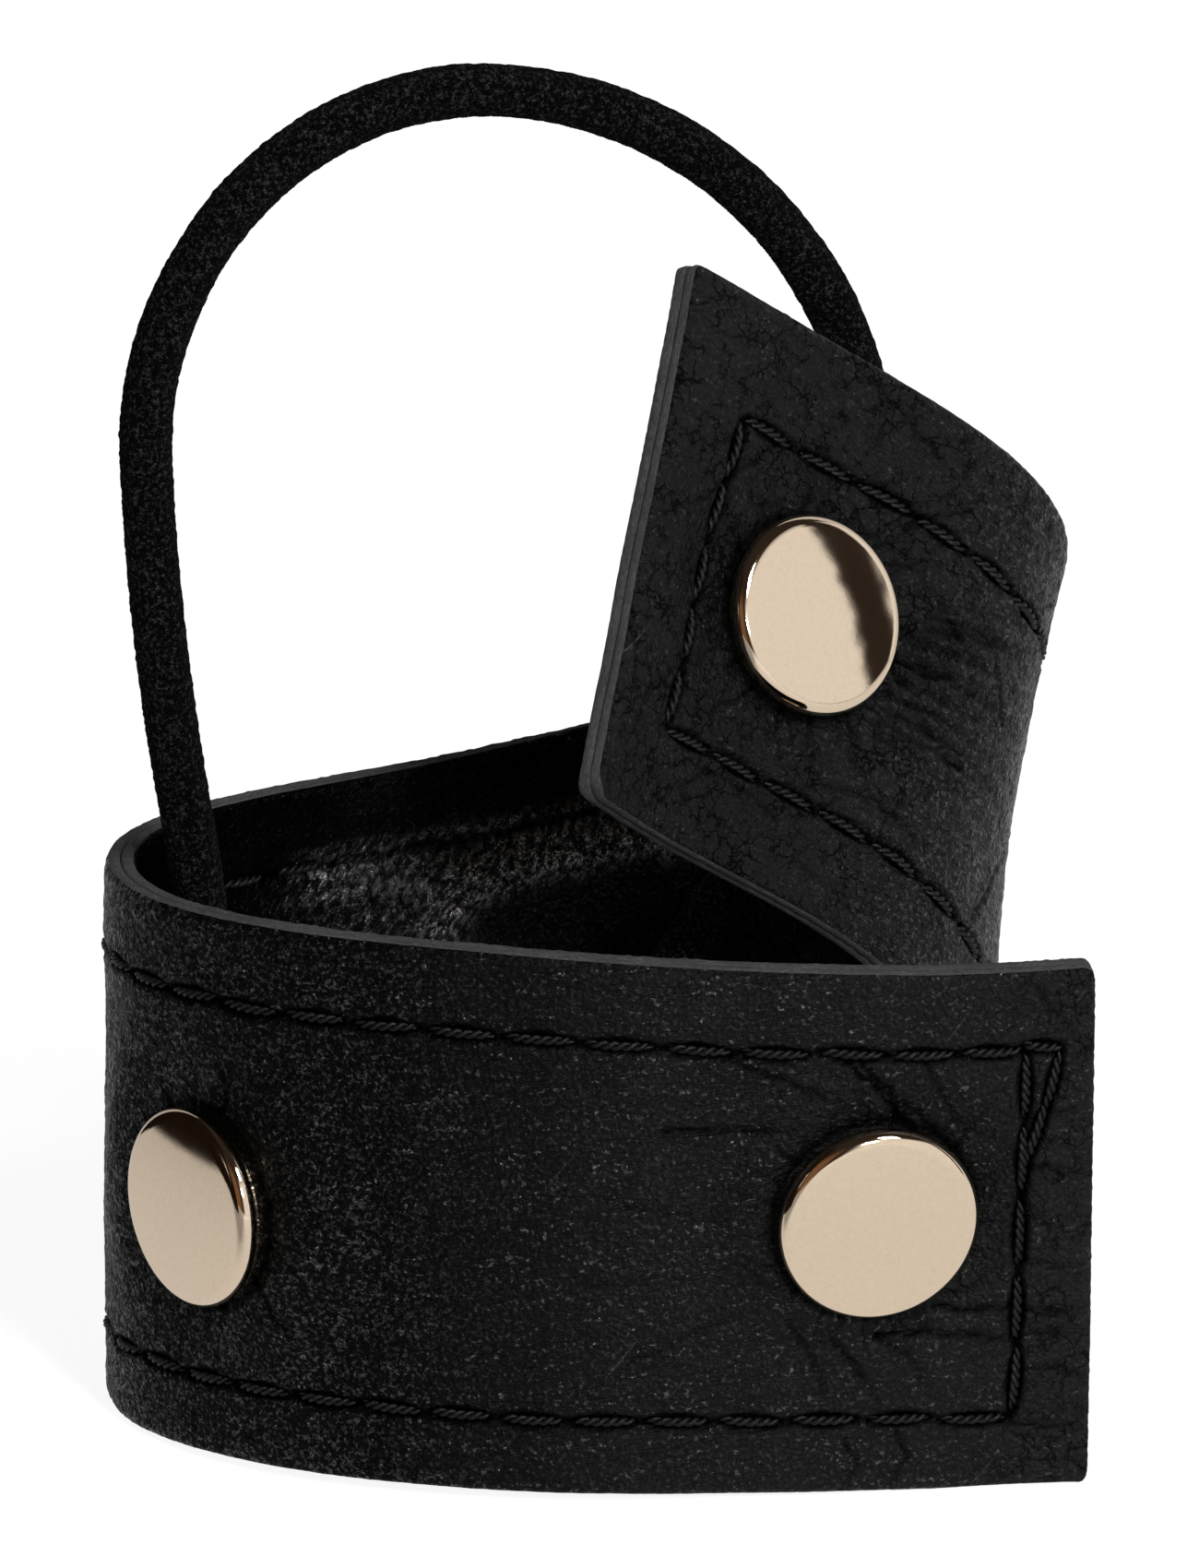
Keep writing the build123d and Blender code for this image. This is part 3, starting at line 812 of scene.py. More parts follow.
def grain_cells(mat, place):
    """Small soft cells, and a wider net of cracks, both pulled about by noise."""
    warp = mat.noise(place, 0.7, output="Color")
    pulled = mat.vector_math("MULTIPLY_ADD", warp, (1.0, 1.0, 1.0), place)
    cells = mat.signal("TexVoronoi", {"Vector": pulled, "Scale": 2.7}, "Distance", feature="F1")
    warp = mat.noise(place, 1.5, detail=3.0, output="Color")
    pulled = mat.vector_math("MULTIPLY_ADD", warp, (1.5, 1.5, 1.5), pulled)
    net = mat.signal("TexVoronoi", {"Vector": pulled, "Scale": 0.75}, "Distance",
                     feature="DISTANCE_TO_EDGE")
    return cells.ramp((0.0, 0.75), FALL), net.ramp((0.01, 0.06), FALL)


def drawn_noise(mat, place):
    """Long wrinkles along the strap, rising a little."""
    return mat.grain(place, turn=0.16, scale=(0.22, 1.05))


def face_zones(along):
    """Masks of the ends, right bend, left bend and front of the face leather."""
    return SimpleNamespace(
        ends=along.ramp((150, 162), (0.0, 0.9)).max(along.ramp((9, 2), (0.0, 0.8))),
        right=along.ramp((143, 149)) * along.ramp((158, 168), FALL),
        left=along.ramp((34, 46)) * along.ramp((80, 96), FALL),
        front=along.ramp((12, 20)) * along.ramp((44, 56), FALL))


def left_bend_shade(along):
    """Painted shade round the left bend, which turns away from the key light."""
    return along.ramp((27, 43)) * along.ramp((84, 100), FALL)


def face_marks(mat, place, zones, net, patches, diagonal):
    """Cracks and wrinkles of the face leather."""
    rays = radial_lines(mat, place, SNAPS["a"], frequency=3.2, outer=9.5)
    rays = rays.max(radial_lines(mat, place, SNAPS["b"], frequency=3.4, outer=11.0))
    rays = rays.max(radial_lines(mat, place, SNAPS["m"], frequency=3.0, outer=9.5))
    cracks = (net * zones.ends) * patches.ramp((0.42, 0.58), (0.10, 0.9))
    drawn = drawn_noise(mat, place).lines(0.0, 0.05)
    wrinkles = (drawn * 0.75) * zones.front.max(zones.right)
    return cracks.max(rays * 0.55), wrinkles.max(diagonal * (zones.left * 0.8))


def glints(mat, place, zones, cavity):
    """Polished specks on the tops of the grain, strung along wrinkles, and hair scratches."""
    scratches = mat.grain(place, turn=0.95, scale=(0.10, 2.6), shift=3.0, detail=1.0,
                          roughness=0.5).ramp((0.75, 0.77), (0.0, 0.8))
    specks = mat.noise(place, 3.2, 2.0, 0.6).ramp((0.57, 0.65))
    bend_specks = mat.noise(place, 3.6, 2.0, 0.6).ramp((0.55, 0.66))
    strung = drawn_noise(mat, place).ramp((0.53, 0.58))
    strung = strung * drawn_noise(mat, place).ramp((0.62, 0.58))
    gloss = specks * strung.times_plus(1.6, 0.30)
    if zones:
        gloss = gloss * (1.0 - zones.ends * 0.75)
        gloss = gloss.max(bend_specks * (zones.left * 0.75))
        gloss = gloss.max(bend_specks * (zones.right * 0.8))
    else:
        gloss = gloss.max(bend_specks * 0.6)
    return (gloss.max(scratches * 0.5) * (1.0 - cavity)).clamped()


def leather(name, kind, dark, light, roughness, bump_depth, specular, glint):
    """kind is "face", "lining" or "keeper"; glint is the extra specular of polished specks."""
    mat = Material(name)
    if kind == "keeper":
        place = mat.object_mm()
    else:
        place = mat.attribute("sv", "Vector")
        along, = mat.signals("SeparateXYZ", "X", {0: place})
    pebbles, net = grain_cells(mat, place)
    fine = mat.noise(place, 5.0, 3.0, 0.7)
    broad = mat.noise(place, 0.13, 2.0, 0.6)
    patches = mat.noise(place, 0.55, 3.0, 0.6)
    diagonal = mat.grain(place, turn=-0.75, scale=(0.30, 1.3), shift=7.0).lines(0.0, 0.05)
    if kind == "face":
        zones = face_zones(along)
        cracks, wrinkles = face_marks(mat, place, zones, net, patches, diagonal)
    else:
        zones = None
        cracks = net * patches.ramp((0.45, 0.65), (0.0, 0.7))
        wrinkles = diagonal * 0.6

    height = fine.times_plus(0.55, pebbles * 0.55)
    height = wrinkles.times_plus(-0.4, cracks.times_plus(-0.9, height))
    normal = mat.bump(height, bump_depth)
    if kind == "lining":
        polish = mat.attribute("shine")
        ripples = mat.grain(place, turn=0.75, scale=(2.3, 1.1), shift=4.0)
        normal = mat.bump(ripples, 0.55, normal, strength=polish)

    # colour: random tone, painted light on the grain tops, and painted shade at the cells' edges,
    # in cracks, wrinkles and hollows
    cavity = mat.attribute("cav")
    tone = fine.ramp((0.32, 0.66), (0.30, 1.15)) * pebbles.ramp((0.15, 0.9), (0.55, 1.10))
    tone = tone * broad.ramp((0.3, 0.7), (0.80, 1.15))
    tone = tone * (1.0 - cracks * 0.92)
    tone = (tone * (1.0 - wrinkles * 0.25)).clamped()
    if kind == "face":
        # painted shade: the left bend is darkened, as it faces away from the key light
        tone = tone * left_bend_shade(along).times_plus(-0.62, 1.0)
        # painted light: the face is lightened up to 1.9 times over the first 12 mm of the front
        # end, where the key light falls more strongly
        tone = tone * along.ramp((0, 12), (1.9, 1.0))
    colour = mat.mix(tone, dark, light)
    colour = mat.mix(cavity * 0.95, colour, tuple(c * 0.1 for c in dark))

    gloss = glints(mat, place, zones, cavity)
    base = specular
    if kind == "face":
        base = left_bend_shade(along).times_plus(-0.7 * specular, specular)
    level = gloss.times_plus(glint, base)
    if kind == "lining":
        level = level * along.ramp((101, 94)).times_plus(-0.75, 1.0)
        polished = polish * ripples.ramp((0.46, 0.60), (0.06, 1.0))
        level = polished.times_plus(3.2, level)
    level = level * (1.0 - cavity.max(cracks) * 0.92)

    rough = cracks.times_plus(0.2, patches.ramp((0.3, 0.7), roughness))
    rough = gloss.times_plus(-0.12, rough).clamped()
    if kind == "lining":
        rough = polish.times_plus(-0.08, rough)
    return mat.surface({"Base Color": colour, "Roughness": rough, "Normal": normal,
                        "Specular IOR Level": level})


# ---------------------------------------------------------------- other materials
def cut_edge():
    """Fibrous cut leather, streaked through its thickness."""
    mat = Material("cut_edge")
    place = mat.attribute("sv", "Vector")
    streaks = mat.noise(mat.scaled(place, 1.0, 1.0, 4.0), 3.2, 4.0, 0.7)
    fibres = mat.noise(place, 12.0, 3.0, 0.7)
    patches = mat.noise(place, 0.5, 2.0, 0.5)
    lightness = streaks.ramp((0.3, 0.7)) * patches.ramp((0.3, 0.7), (0.6, 1.0))
    return mat.surface({
        "Base Color": mat.mix(lightness, (0.014, 0.014, 0.0145), (0.15, 0.15, 0.153)),
        "Roughness": 0.92,
        "Normal": mat.bump(streaks + fibres, 0.14),
        "Specular IOR Level": 0.12,
        "Sheen Weight": 0.04,
        "Sheen Roughness": 0.5})


def thread():
    mat = Material("thread")
    fibres = mat.noise(mat.object_mm(), 9.0, 3.0, 0.6)
    lightness = fibres.ramp((0.35, 0.7))
    return mat.surface({
        "Base Color": mat.mix(lightness, (0.0002, 0.0002, 0.0002), (0.0030, 0.0030, 0.0031)),
        "Roughness": fibres.ramp((0.3, 0.7), (0.30, 0.5)),
        "Normal": mat.bump(fibres, 0.05),
        "Specular IOR Level": 0.20})


def metal(name, colour, patch_colour, roughness, peel=0.003, scratch=0.6):
    """peel: bump depth in mm; scratch: how much rougher the brushed streaks are."""
    mat = Material(name)
    place = mat.object_mm()
    broad = mat.noise(place, 0.35, 2.0, 0.5)
    patches = mat.noise(place, 3.4, 4.0, 0.65)
    streaks = mat.noise(mat.scaled(place, 1.0, 1.0, 9.0), 3.0, 3.0, 0.6)
    pits = mat.noise(place, 4.6, 0.0).ramp((0.76, 0.80))
    tint = mat.mix(patches.ramp((0.3, 0.7)), colour, patch_colour)
    tint = mat.mix(pits * 0.18, tint, tuple(c * 0.6 for c in colour))
    rough = broad.ramp((0.3, 0.7), (roughness * 0.8, roughness * 1.3))
    rough = streaks.ramp((0.55, 0.75)).times_plus(roughness * scratch, rough)
    normal = mat.bump(streaks, peel * 0.5, mat.bump(patches, peel))
    return mat.surface({"Base Color": tint, "Roughness": rough, "Metallic": 1.0,
                        "Normal": normal})


def velvet():
    mat = Material("cord_velvet")
    place = mat.object_mm()
    tufts = mat.noise(place, 3.4, 4.0, 0.75)
    fibres = mat.noise(place, 9.0, 2.0, 0.7)
    tips = tufts.ramp((0.50, 0.63), (0.05, 1.0)) * fibres.ramp((0.42, 0.60), (0.1, 1.0))
    return mat.surface({
        "Base Color": mat.mix(tips, (0.0001, 0.0001, 0.0001), (0.050, 0.050, 0.052)),
        "Roughness": 0.95,
        "Normal": mat.bump(tufts * 1.0 + fibres * 0.6, 0.22),
        "Specular IOR Level": 0.02,
        "Sheen Weight": 0.006,
        "Sheen Roughness": 0.4})


def rubber():
    mat = Material("rubber_core")
    mottle = mat.noise(mat.object_mm(), 2.0, 3.0)
    return mat.surface({
        "Base Color": mat.mix(mottle, (0.42, 0.39, 0.31), (0.62, 0.58, 0.47)),
        "Roughness": 0.7,
        "Normal": mat.bump(mottle, 0.05)})


FACE = leather(
    "leather_face", "face", dark=(0.0002, 0.0002, 0.0002), light=(0.0085, 0.0085, 0.0086),
    roughness=(0.27, 0.38), bump_depth=0.22, specular=0.075, glint=0.62)
# painted shade: the lining's colours are far darker than the face's, for the shade inside the loop
LINING = leather(
    "leather_lining", "lining", dark=(0.0001, 0.0001, 0.0001), light=(0.0006, 0.0006, 0.0006),
    roughness=(0.20, 0.28), bump_depth=0.11, specular=0.045, glint=0.22)
KEEPER = leather(
    "leather_keeper", "keeper", dark=(0.0004, 0.0004, 0.0004), light=(0.0090, 0.0090, 0.0092),
    roughness=(0.42, 0.6), bump_depth=0.10, specular=0.04, glint=0.3)
EDGE = cut_edge()
THREAD = thread()
GOLD = metal("cap_gold", colour=(0.80, 0.655, 0.50), patch_colour=(0.76, 0.61, 0.455),
             roughness=0.055, peel=0.0012, scratch=0.25)
BRASS = metal("snap_brass", colour=(0.78, 0.62, 0.42), patch_colour=(0.70, 0.54, 0.35),
              roughness=0.16)
STEEL = metal("spring_steel", colour=(0.62, 0.62, 0.61), patch_colour=(0.55, 0.55, 0.54),
              roughness=0.22)
VELVET = velvet()
RUBBER = rubber()

# ---------------------------------------------------------------- leather layers
# side: -1 faces out of the loop, +1 into it; shown and glued: depths of a layer's two
# surfaces below the strap's middle, + inwards; part: the start of its CAD names
Layer = namedtuple("Layer", "name side shown glued relief material part")
LAYERS = [
    Layer("face", -1, -THICKNESS / 2, -GLUE / 2, relief_face, FACE, "outer_leather"),
    Layer("lining", 1, THICKNESS / 2, GLUE / 2, relief_lining, LINING, "lining"),
]
# The CAD panels that each half covers.
HALVES = {"front": ("front", "middle"), "rear": ("flap",)}

# Mesh stations are closest where the leather is finely creased: knots and relative steps.
STATION_KNOTS = [0.0, 26.0, 60.0, 78.0, 130.0, 150.0, LENGTH]
STATION_SIZES = [0.66, 0.9, 1.1, 1.4, 0.9, 0.72]
END_STATIONS = np.array([0.0, 0.06, 0.15, 0.28, 0.45, 0.65, 0.9])
END_STATION_REACH = 1.05


def mesh_stations(start, stop):
    stations = [start]
    for knot, next_knot, size in zip(STATION_KNOTS[:-1], STATION_KNOTS[1:], STATION_SIZES):
        low, high = max(start, knot), min(stop, next_knot)
        if high - low < 1e-6:
            continue
        count = max(1, int(round((high - low) / (STEP * size))))
        stations += list(np.linspace(low, high, count + 1)[1:])
    stations = np.array(stations)
    if start <= 0:
        stations = np.concatenate([END_STATIONS, stations[stations > END_STATION_REACH]])
    if stop >= LENGTH:
        inner = stations[stations < LENGTH - END_STATION_REACH]
        stations = np.concatenate([inner, LENGTH - END_STATIONS[::-1]])
    return stations


def corner_cut(along, front_radius, flap_radius):
    """How much the strap narrows at its rounded corners."""
    cut = np.zeros_like(along)
    for radius, inset in ((front_radius, along), (flap_radius, LENGTH - along)):
        reach = radius - np.clip(inset, 0, radius)
        arc = np.sqrt(np.maximum(radius * radius - reach ** 2, 0))
        cut += np.where(inset < radius, radius - arc, 0)
    return cut


def between(first, second, fraction):
    return first * (1 - fraction) + second * fraction


def sheet(layer, start, stop):
    """Closed mesh of one layer between two stations: a ring of points per station, then
    the inner points of the two end walls."""
    side = layer.side
    stations = mesh_stations(start, stop)
    rows = len(stations)
    columns = int(round(WIDTH / (0.8 * STEP))) + 1
    # columns crowd towards the edges
    spread = np.sin(np.linspace(-1, 1, columns) * math.pi / 2 * 0.62)
    spread = spread / math.sin(math.pi / 2 * 0.62)
    top = WIDTH / 2 - corner_cut(stations, 0.8, 0.5)
    low = WIDTH / 2 - corner_cut(stations, 0.8, 1.5)
    along = np.repeat(stations[:, None], columns, 1)
    across = spread[None, :] * np.where(spread[None, :] > 0, top[:, None], low[:, None])

    centre, tangent, rise, inward = frames(stations)
    base = centre[:, None, :] + across[..., None] * rise[:, None, :]
    outward = -np.repeat(inward[:, None, :], columns, 1)
    outer = base + outward * (THICKNESS / 2)
    # the second value is the painted shade of hollows, creases, seams and cap edges, passed to the
    # shader as cav
    relief, sunken = layer.relief(along, across)
    shown_shift = settle(along, across, outer, turned=side < 0)
    glued_shift = settle(along, across, outer, turned=False)
    shown = base + outward * (-layer.shown + shown_shift - side * relief)[..., None]
    glued = base + outward * (-layer.glued + glued_shift)[..., None]
    # the lower edge is trimmed on the table plane
    for surface in (shown, glued):
        z = surface[..., 2]
        trimmed = (across < -WIDTH / 2 + 6) & (along < 104) & (z < 0.05)
        surface[..., 2] = np.where(trimmed, 0.05, z)

    # the ring: shown surface, top rim, glued surface, low rim
    flat = np.zeros(rows)
    ring = [(shown[:, j], across[:, j], layer.shown, sunken[:, j]) for j in range(columns)]
    for k in range(1, RIM):
        f = k / RIM
        depth = between(layer.shown, layer.glued, f)
        bulge = (0.10 * math.sin(math.pi * f)
                 + 0.07 * noise2(stations / 0.45, depth * 3.0 + side, 91)
                 + 0.05 * noise2(stations / 1.7, depth * 2.0, 92))
        points = between(shown[:, -1], glued[:, -1], f) + rise * bulge[:, None]
        ring.append((points, top + bulge, depth, flat))
    ring += [(glued[:, j], across[:, j], layer.glued, flat) for j in reversed(range(columns))]
    for k in range(1, RIM):
        f = k / RIM
        depth = between(layer.glued, layer.shown, f)
        bulge = (0.10 * math.sin(math.pi * f)
                 + 0.06 * noise2(stations / 0.45, depth * 3.0 + side + 9, 93))
        bulge = np.where(stations < 108, np.minimum(bulge, 0.03), bulge)
        points = between(glued[:, 0], shown[:, 0], f) - rise * bulge[:, None]
        ring.append((points, -low - bulge, depth, flat))
    size = len(ring)
    points = [np.stack([r[0] for r in ring], 1).reshape(-1, 3)]
    places = [np.stack([np.stack([stations, r[1], np.full(rows, r[2])], -1) for r in ring],
                       1).reshape(-1, 3)]
    cavities = [np.stack([r[3] for r in ring], 1).reshape(-1)]
    index = np.arange(rows * size).reshape(rows, size)
    beside = np.roll(index, -1, 1)
    quads = [np.stack([index[:-1], index[1:], beside[1:], beside[:-1]], -1).reshape(-1, 4)]
    # material 0 on the shown surface, 1 on every cut or glued one
    materials = [np.tile((np.arange(size) >= columns - 1).astype(int), rows - 1)]

    count = rows * size
    inner = columns - 2
    for end, row, free in ((0, 0, start <= 0), (1, rows - 1, stop >= LENGTH)):
        grid = np.zeros((RIM + 1, columns), int)
        grid[0] = index[row, :columns]
        grid[1:RIM, -1] = index[row, columns:columns + RIM - 1]
        grid[RIM] = index[row, columns + RIM - 1:2 * columns + RIM - 1][::-1]
        grid[1:RIM, 0] = index[row, size - RIM + 1:][::-1]
        across_row = across[row, 1:-1]
        for k in range(1, RIM):
            f = k / RIM
            depth = between(layer.shown, layer.glued, f)
            wall = between(shown[row, 1:-1], glued[row, 1:-1], f)
            bulge = np.zeros(inner)
            if free:
                bulge = (0.08 * math.sin(math.pi * f)
                         + 0.06 * noise2(across_row / 0.45, depth * 3 + side, 95 + end))
                wall = wall + (tangent[row] * (1 if end else -1))[None] * bulge[:, None]
            grid[k, 1:-1] = count + np.arange(inner)
            count += inner
            points.append(wall)
            places.append(np.stack([along[row, 1:-1] + bulge, across_row,
                                    np.full(inner, depth)], -1))
            cavities.append(np.zeros(inner))
        caps = np.stack([grid[:-1, :-1], grid[1:, :-1], grid[1:, 1:], grid[:-1, 1:]], -1)
        caps = caps.reshape(-1, 4)
        quads.append(caps if end else caps[:, ::-1])
        materials.append(np.ones(len(caps), int))
    quads = np.concatenate(quads)
    return SimpleNamespace(
        points=np.concatenate(points), quads=quads[:, ::-1] if side < 0 else quads,
        materials=np.concatenate(materials), cavities=np.concatenate(cavities),
        places=np.concatenate(places), stations=stations, ring=size)


def strap_piece(layer, half):
    """One half of a layer; normals at the joint come from a sheet that spans it."""
    piece = sheet(layer, *((0.0, SPLIT) if half == "front" else (SPLIT, LENGTH)))
    ring = piece.ring
    normals = vertex_normals(piece.points, piece.quads)
    span = sheet(layer, SPLIT - 3.0, SPLIT + 3.0)
    span_normals = vertex_normals(span.points, span.quads)
    joint = int(np.argmin(np.abs(span.stations - SPLIT)))
    row = len(piece.stations) - 1 if half == "front" else 0
    normals[row * ring:(row + 1) * ring] = span_normals[joint * ring:(joint + 1) * ring]
    if layer.side > 0:
        polish = shine(piece.places[:, 0], piece.places[:, 1])
    else:
        polish = np.zeros(len(piece.points))
    return new_mesh(
        layer.name + "_leather_" + half, metres(piece.points), piece.quads,
        [layer.material, EDGE], face_material=piece.materials, normals=normals,
        attributes={"cav": piece.cavities, "sv": piece.places, "shine": polish})


def follow(obj, half):
    """Bakes a piece's placement into its mesh; it does not bend with the bodies it spans."""
    zone = FRONT_ZONE if half == "front" else FLAP_ZONE
    start, end = (Vector(point) for point in frames(zone)[0] * MM)
    if half == "front":
        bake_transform(obj)
    else:
        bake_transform(obj)


# ---------------------------------------------------------------- thread
PLY_RADIUS, PLY_OFFSET, PLY_SIDES = 0.175, 0.155, 7
PLY_TURN = 1.25                           # length of one turn of the plies
STITCH_POINTS = 22


def stitch_plies(start, end, side, phase):
    """Two plies laid round each other, arching over the leather and diving into the holes,
    as (points, quads, triangles) of each."""
    u = np.linspace(0, 1, STITCH_POINTS)
    along = start[0] + (end[0] - start[0]) * u
    across = start[1] + (end[1] - start[1]) * u
    lift = -0.62 + 0.72 * np.sin(np.pi * u) ** 0.35
    centre, _, rise, inward = frames(along)
    base = centre + across[:, None] * rise
    normal = -inward if side < 0 else inward
    shift = settle(along, across, base - inward * (THICKNESS / 2), turned=side < 0)
    middle = (base + normal * (THICKNESS / 2) - inward * shift[:, None]
              + normal * (lift - 0.22)[:, None])
    tangent = np.gradient(middle, axis=0)
    tangent /= np.linalg.norm(tangent, axis=1)[:, None]
    beside = np.cross(tangent, normal)
    beside /= np.linalg.norm(beside, axis=1)[:, None]
    above = np.cross(beside, tangent)
    turns = math.hypot(end[0] - start[0], end[1] - start[1]) / PLY_TURN
    radius = PLY_RADIUS * (0.85 + 0.15 * np.sin(np.pi * u))
    plies = []
    for ply in range(2):
        angle = 2 * math.pi * (turns * u) + math.pi * ply + phase
        path = middle + PLY_OFFSET * (
            np.cos(angle)[:, None] * beside + np.sin(angle)[:, None] * above)
        points, quads = tube(path, radius, PLY_SIDES)
        count = len(points)
        first = np.arange(PLY_SIDES)
        last = first + count - PLY_SIDES
        caps = np.concatenate([
            np.stack([np.roll(first, -1), first, np.full(PLY_SIDES, count)], -1),
            np.stack([last, np.roll(last, -1), np.full(PLY_SIDES, count + 1)], -1)])
        plies.append((np.concatenate([points, path[[0, -1]]]), quads, caps))
    return plies


def seam_piece(layer, half):
    """All stitches of one half of a layer; the lining has no back-tack."""
    points, quads, triangles = [], [], []
    count = 0
    for i, (start, end) in enumerate(STITCHES):
        middle = 0.5 * (start[0] + end[0])
        if (middle < SPLIT) != (half == "front"):
            continue
        if layer.side > 0 and i >= len(STITCHES) - BACK_TACKS:
            continue
        for ply, ply_quads, ply_caps in stitch_plies(start, end, layer.side, phase=i * 1.7):
            points.append(ply)
            quads.append(ply_quads + count)
            triangles.append(ply_caps + count)
            count += len(ply)
    return new_mesh(layer.name + "_seam_" + half, np.concatenate(points) * MM,
                    np.concatenate(quads), [THREAD], triangles=np.concatenate(triangles))


for half, panels in HALVES.items():
    for layer in LAYERS:
        piece = strap_piece(layer, half)
        follow(piece, half)
        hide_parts(*(layer.part + "_" + panel for panel in panels))
for layer in LAYERS:
    for half, panels in HALVES.items():
        seam = seam_piece(layer, half)
        follow(seam, half)
        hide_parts(*(layer.name + "_thread_" + panel for panel in panels))

# ---------------------------------------------------------------- snap caps
# (radius, height) above the seat: the skirt, and the underside that closes the shell.
CAP_SKIRT = [(4.9, 0.36), (4.9, 0.06), (5.0, 0.02), (5.7, 0.02), (5.95, 0.06)]
CAP_UNDERSIDE = [(0.0, 1.62), (4.0, 1.40), (5.2, 1.05), (5.5, 0.70), (5.3, 0.40), (4.9, 0.36)]
CAP_TOP = 1.99


def cap_profile():
    """Skirt, rolled rim and a nearly flat crown."""
    profile = list(CAP_SKIRT)
    for i in range(17):
        angle = math.radians(-62 + i * (62 + 78) / 16)
        profile.append((5.42 + 0.83 * math.cos(angle), 0.80 + 0.80 * math.sin(angle)))
    edge, height = profile[-1]
    for i in range(1, 24):
        radius = edge * (1 - i / 24)
        profile.append((radius, height + (CAP_TOP - height) * (1 - (radius / edge) ** 2.1)))
    return profile + [(0.0, CAP_TOP)]


for key, snap in SNAPS.items():
    placing = snap_frame(snap, turned=True)
    shell, shell_quads = revolve(cap_profile(), *placing)
    under, under_quads = revolve(CAP_UNDERSIDE, *placing)
    cap = new_mesh("snap_cap_" + key, metres(np.concatenate([shell, under])),
                   np.concatenate([shell_quads, under_quads + len(shell)]), [GOLD])
    weld(cap)
    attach(cap, snap.body)
    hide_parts("cap_" + key)

# CAD pieces shown as they are, by material
CAD_MATERIALS = [
    (BRASS, ("post_a", "post_b", "post_m", "socket_a", "stud_b", "washer_m")),
    (STEEL, ("socket_spring_upper", "socket_spring_lower")),
    (RUBBER, ("cord_core",)),
    (KEEPER, ("cord_keeper",)),
]
for material, names in CAD_MATERIALS:
    for name in names:
        slots = CAD_PARTS[name].data.materials
        slots.clear()
        slots.append(material)

# ---------------------------------------------------------------- elastic cord
CORD_RADIUS = 1.62
CORD_ORIGIN = np.array([-24.3, 9.8, 0.0]) + OFFSET
CORD_SIDEWAYS = np.array([0.94546286, 0.32572993, 0.0])  # the loop lies in this direction and Z
CORD_START = (0.0, -30.8)                 # sideways, up; it sets out upwards
# Curvature and length of each arc; the first is straight.
CORD_ARCS = [
    (0.0, 12.6),
    (0.0132517987, 13.0781605419), (-0.0056429676, 23.2220090176),
    (-0.0462292592, 13.3948862342), (-0.0499432824, 22.4710412660),
    (-0.0354145822, 30.0452696965), (-0.0326269066, 30.0441001949),
    (-0.0034458807, 30.0527320468), (-0.0551073303, 16.2836252039),
    (-0.1629294611, 9.4442524394)]


def cord_path(spacing):
    def advance(x, y, heading, bend, distance):
        if abs(bend) < 1e-9:
            return x + distance * math.cos(heading), y + distance * math.sin(heading)
        turned = heading + bend * distance
        return (x + (math.sin(turned) - math.sin(heading)) / bend,
                y - (math.cos(turned) - math.cos(heading)) / bend)

    x, y = CORD_START
    heading = math.pi / 2
    path = []
    for bend, length in CORD_ARCS:
        count = max(2, int(length / spacing))
        path += [advance(x, y, heading, bend, length * i / count) for i in range(count)]
        x, y = advance(x, y, heading, bend, length)
        heading += bend * length
    path = np.array(path)
    # soften the changes of curvature between the arcs
    for _ in range(40):
        path = 0.5 * path + 0.25 * (np.roll(path, 1, 0) + np.roll(path, -1, 0))
    return CORD_ORIGIN + path[:, :1] * CORD_SIDEWAYS + path[:, 1:] * np.array([0, 0, 1.0])


def cord_pile():
    """The cord's cover: a closed tube roughened by two sizes of pile and a slow unevenness."""
    path = cord_path(0.16)
    sides = 72
    points, quads = tube(path, CORD_RADIUS, sides, closed=True)
    gaps = np.linalg.norm(np.roll(path, -1, 0) - path, axis=1)
    along = np.repeat(np.concatenate([[0], np.cumsum(gaps)])[:-1], sides)
    angle = np.tile(np.linspace(0, 2 * math.pi, sides, endpoint=False), len(path))
    outward = points - np.repeat(path, sides, 0)
    outward /= np.linalg.norm(outward, axis=1)[:, None]
    x, y = np.cos(angle) * CORD_RADIUS, np.sin(angle) * CORD_RADIUS
    coarse = noise2(along / 0.42 + x * 2.0, y * 2.3 + along * 0.35, 101)
    fine = noise2(along / 0.2 + x * 4.1, y * 4.3 - along * 0.6, 102)
    slow = noise2(along / 6.0, np.cos(angle) * 0.8, 103)
    points = points + outward * (0.055 * coarse + 0.05 * fine + 0.05 * slow)[:, None]
    return new_mesh("cord_pile", metres(points), quads, [VELVET])


cord = cord_pile()
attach(cord, "cord_loop")
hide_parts("cord_cover")


# ---------------------------------------------------------------- studio (metres)
def floor_material():
    """White to the camera; what reflections see is dimmer, and dimmest at the front left."""
    mat = Material("studio_floor")
    place = mat.object_place()
    mottle = mat.noise(place, 3.0)
    camera_ray, glossy_ray = mat.signals("LightPath", ("Is Camera Ray", "Is Glossy Ray"))
    x, y = mat.signals("SeparateXYZ", "XY", {0: place})
    front_left = x.ramp((-0.015, -0.045)) * y.ramp((-0.030, -0.055))
    mirrored = x.ramp((-0.12, 0.0), (0.26, 0.46)) * front_left.times_plus(-1.1, 1.0)
    return mat.surface({
        "Base Color": mat.mix(mottle, (0.29, 0.29, 0.29), (0.31, 0.31, 0.31)),
        "Roughness": 0.9,
        "Specular IOR Level": 0.0,
        "Emission Color": (1, 1, 1, 1),
        "Emission Strength": glossy_ray.times_plus(mirrored, camera_ray.times_plus(0.78, 0.12))})


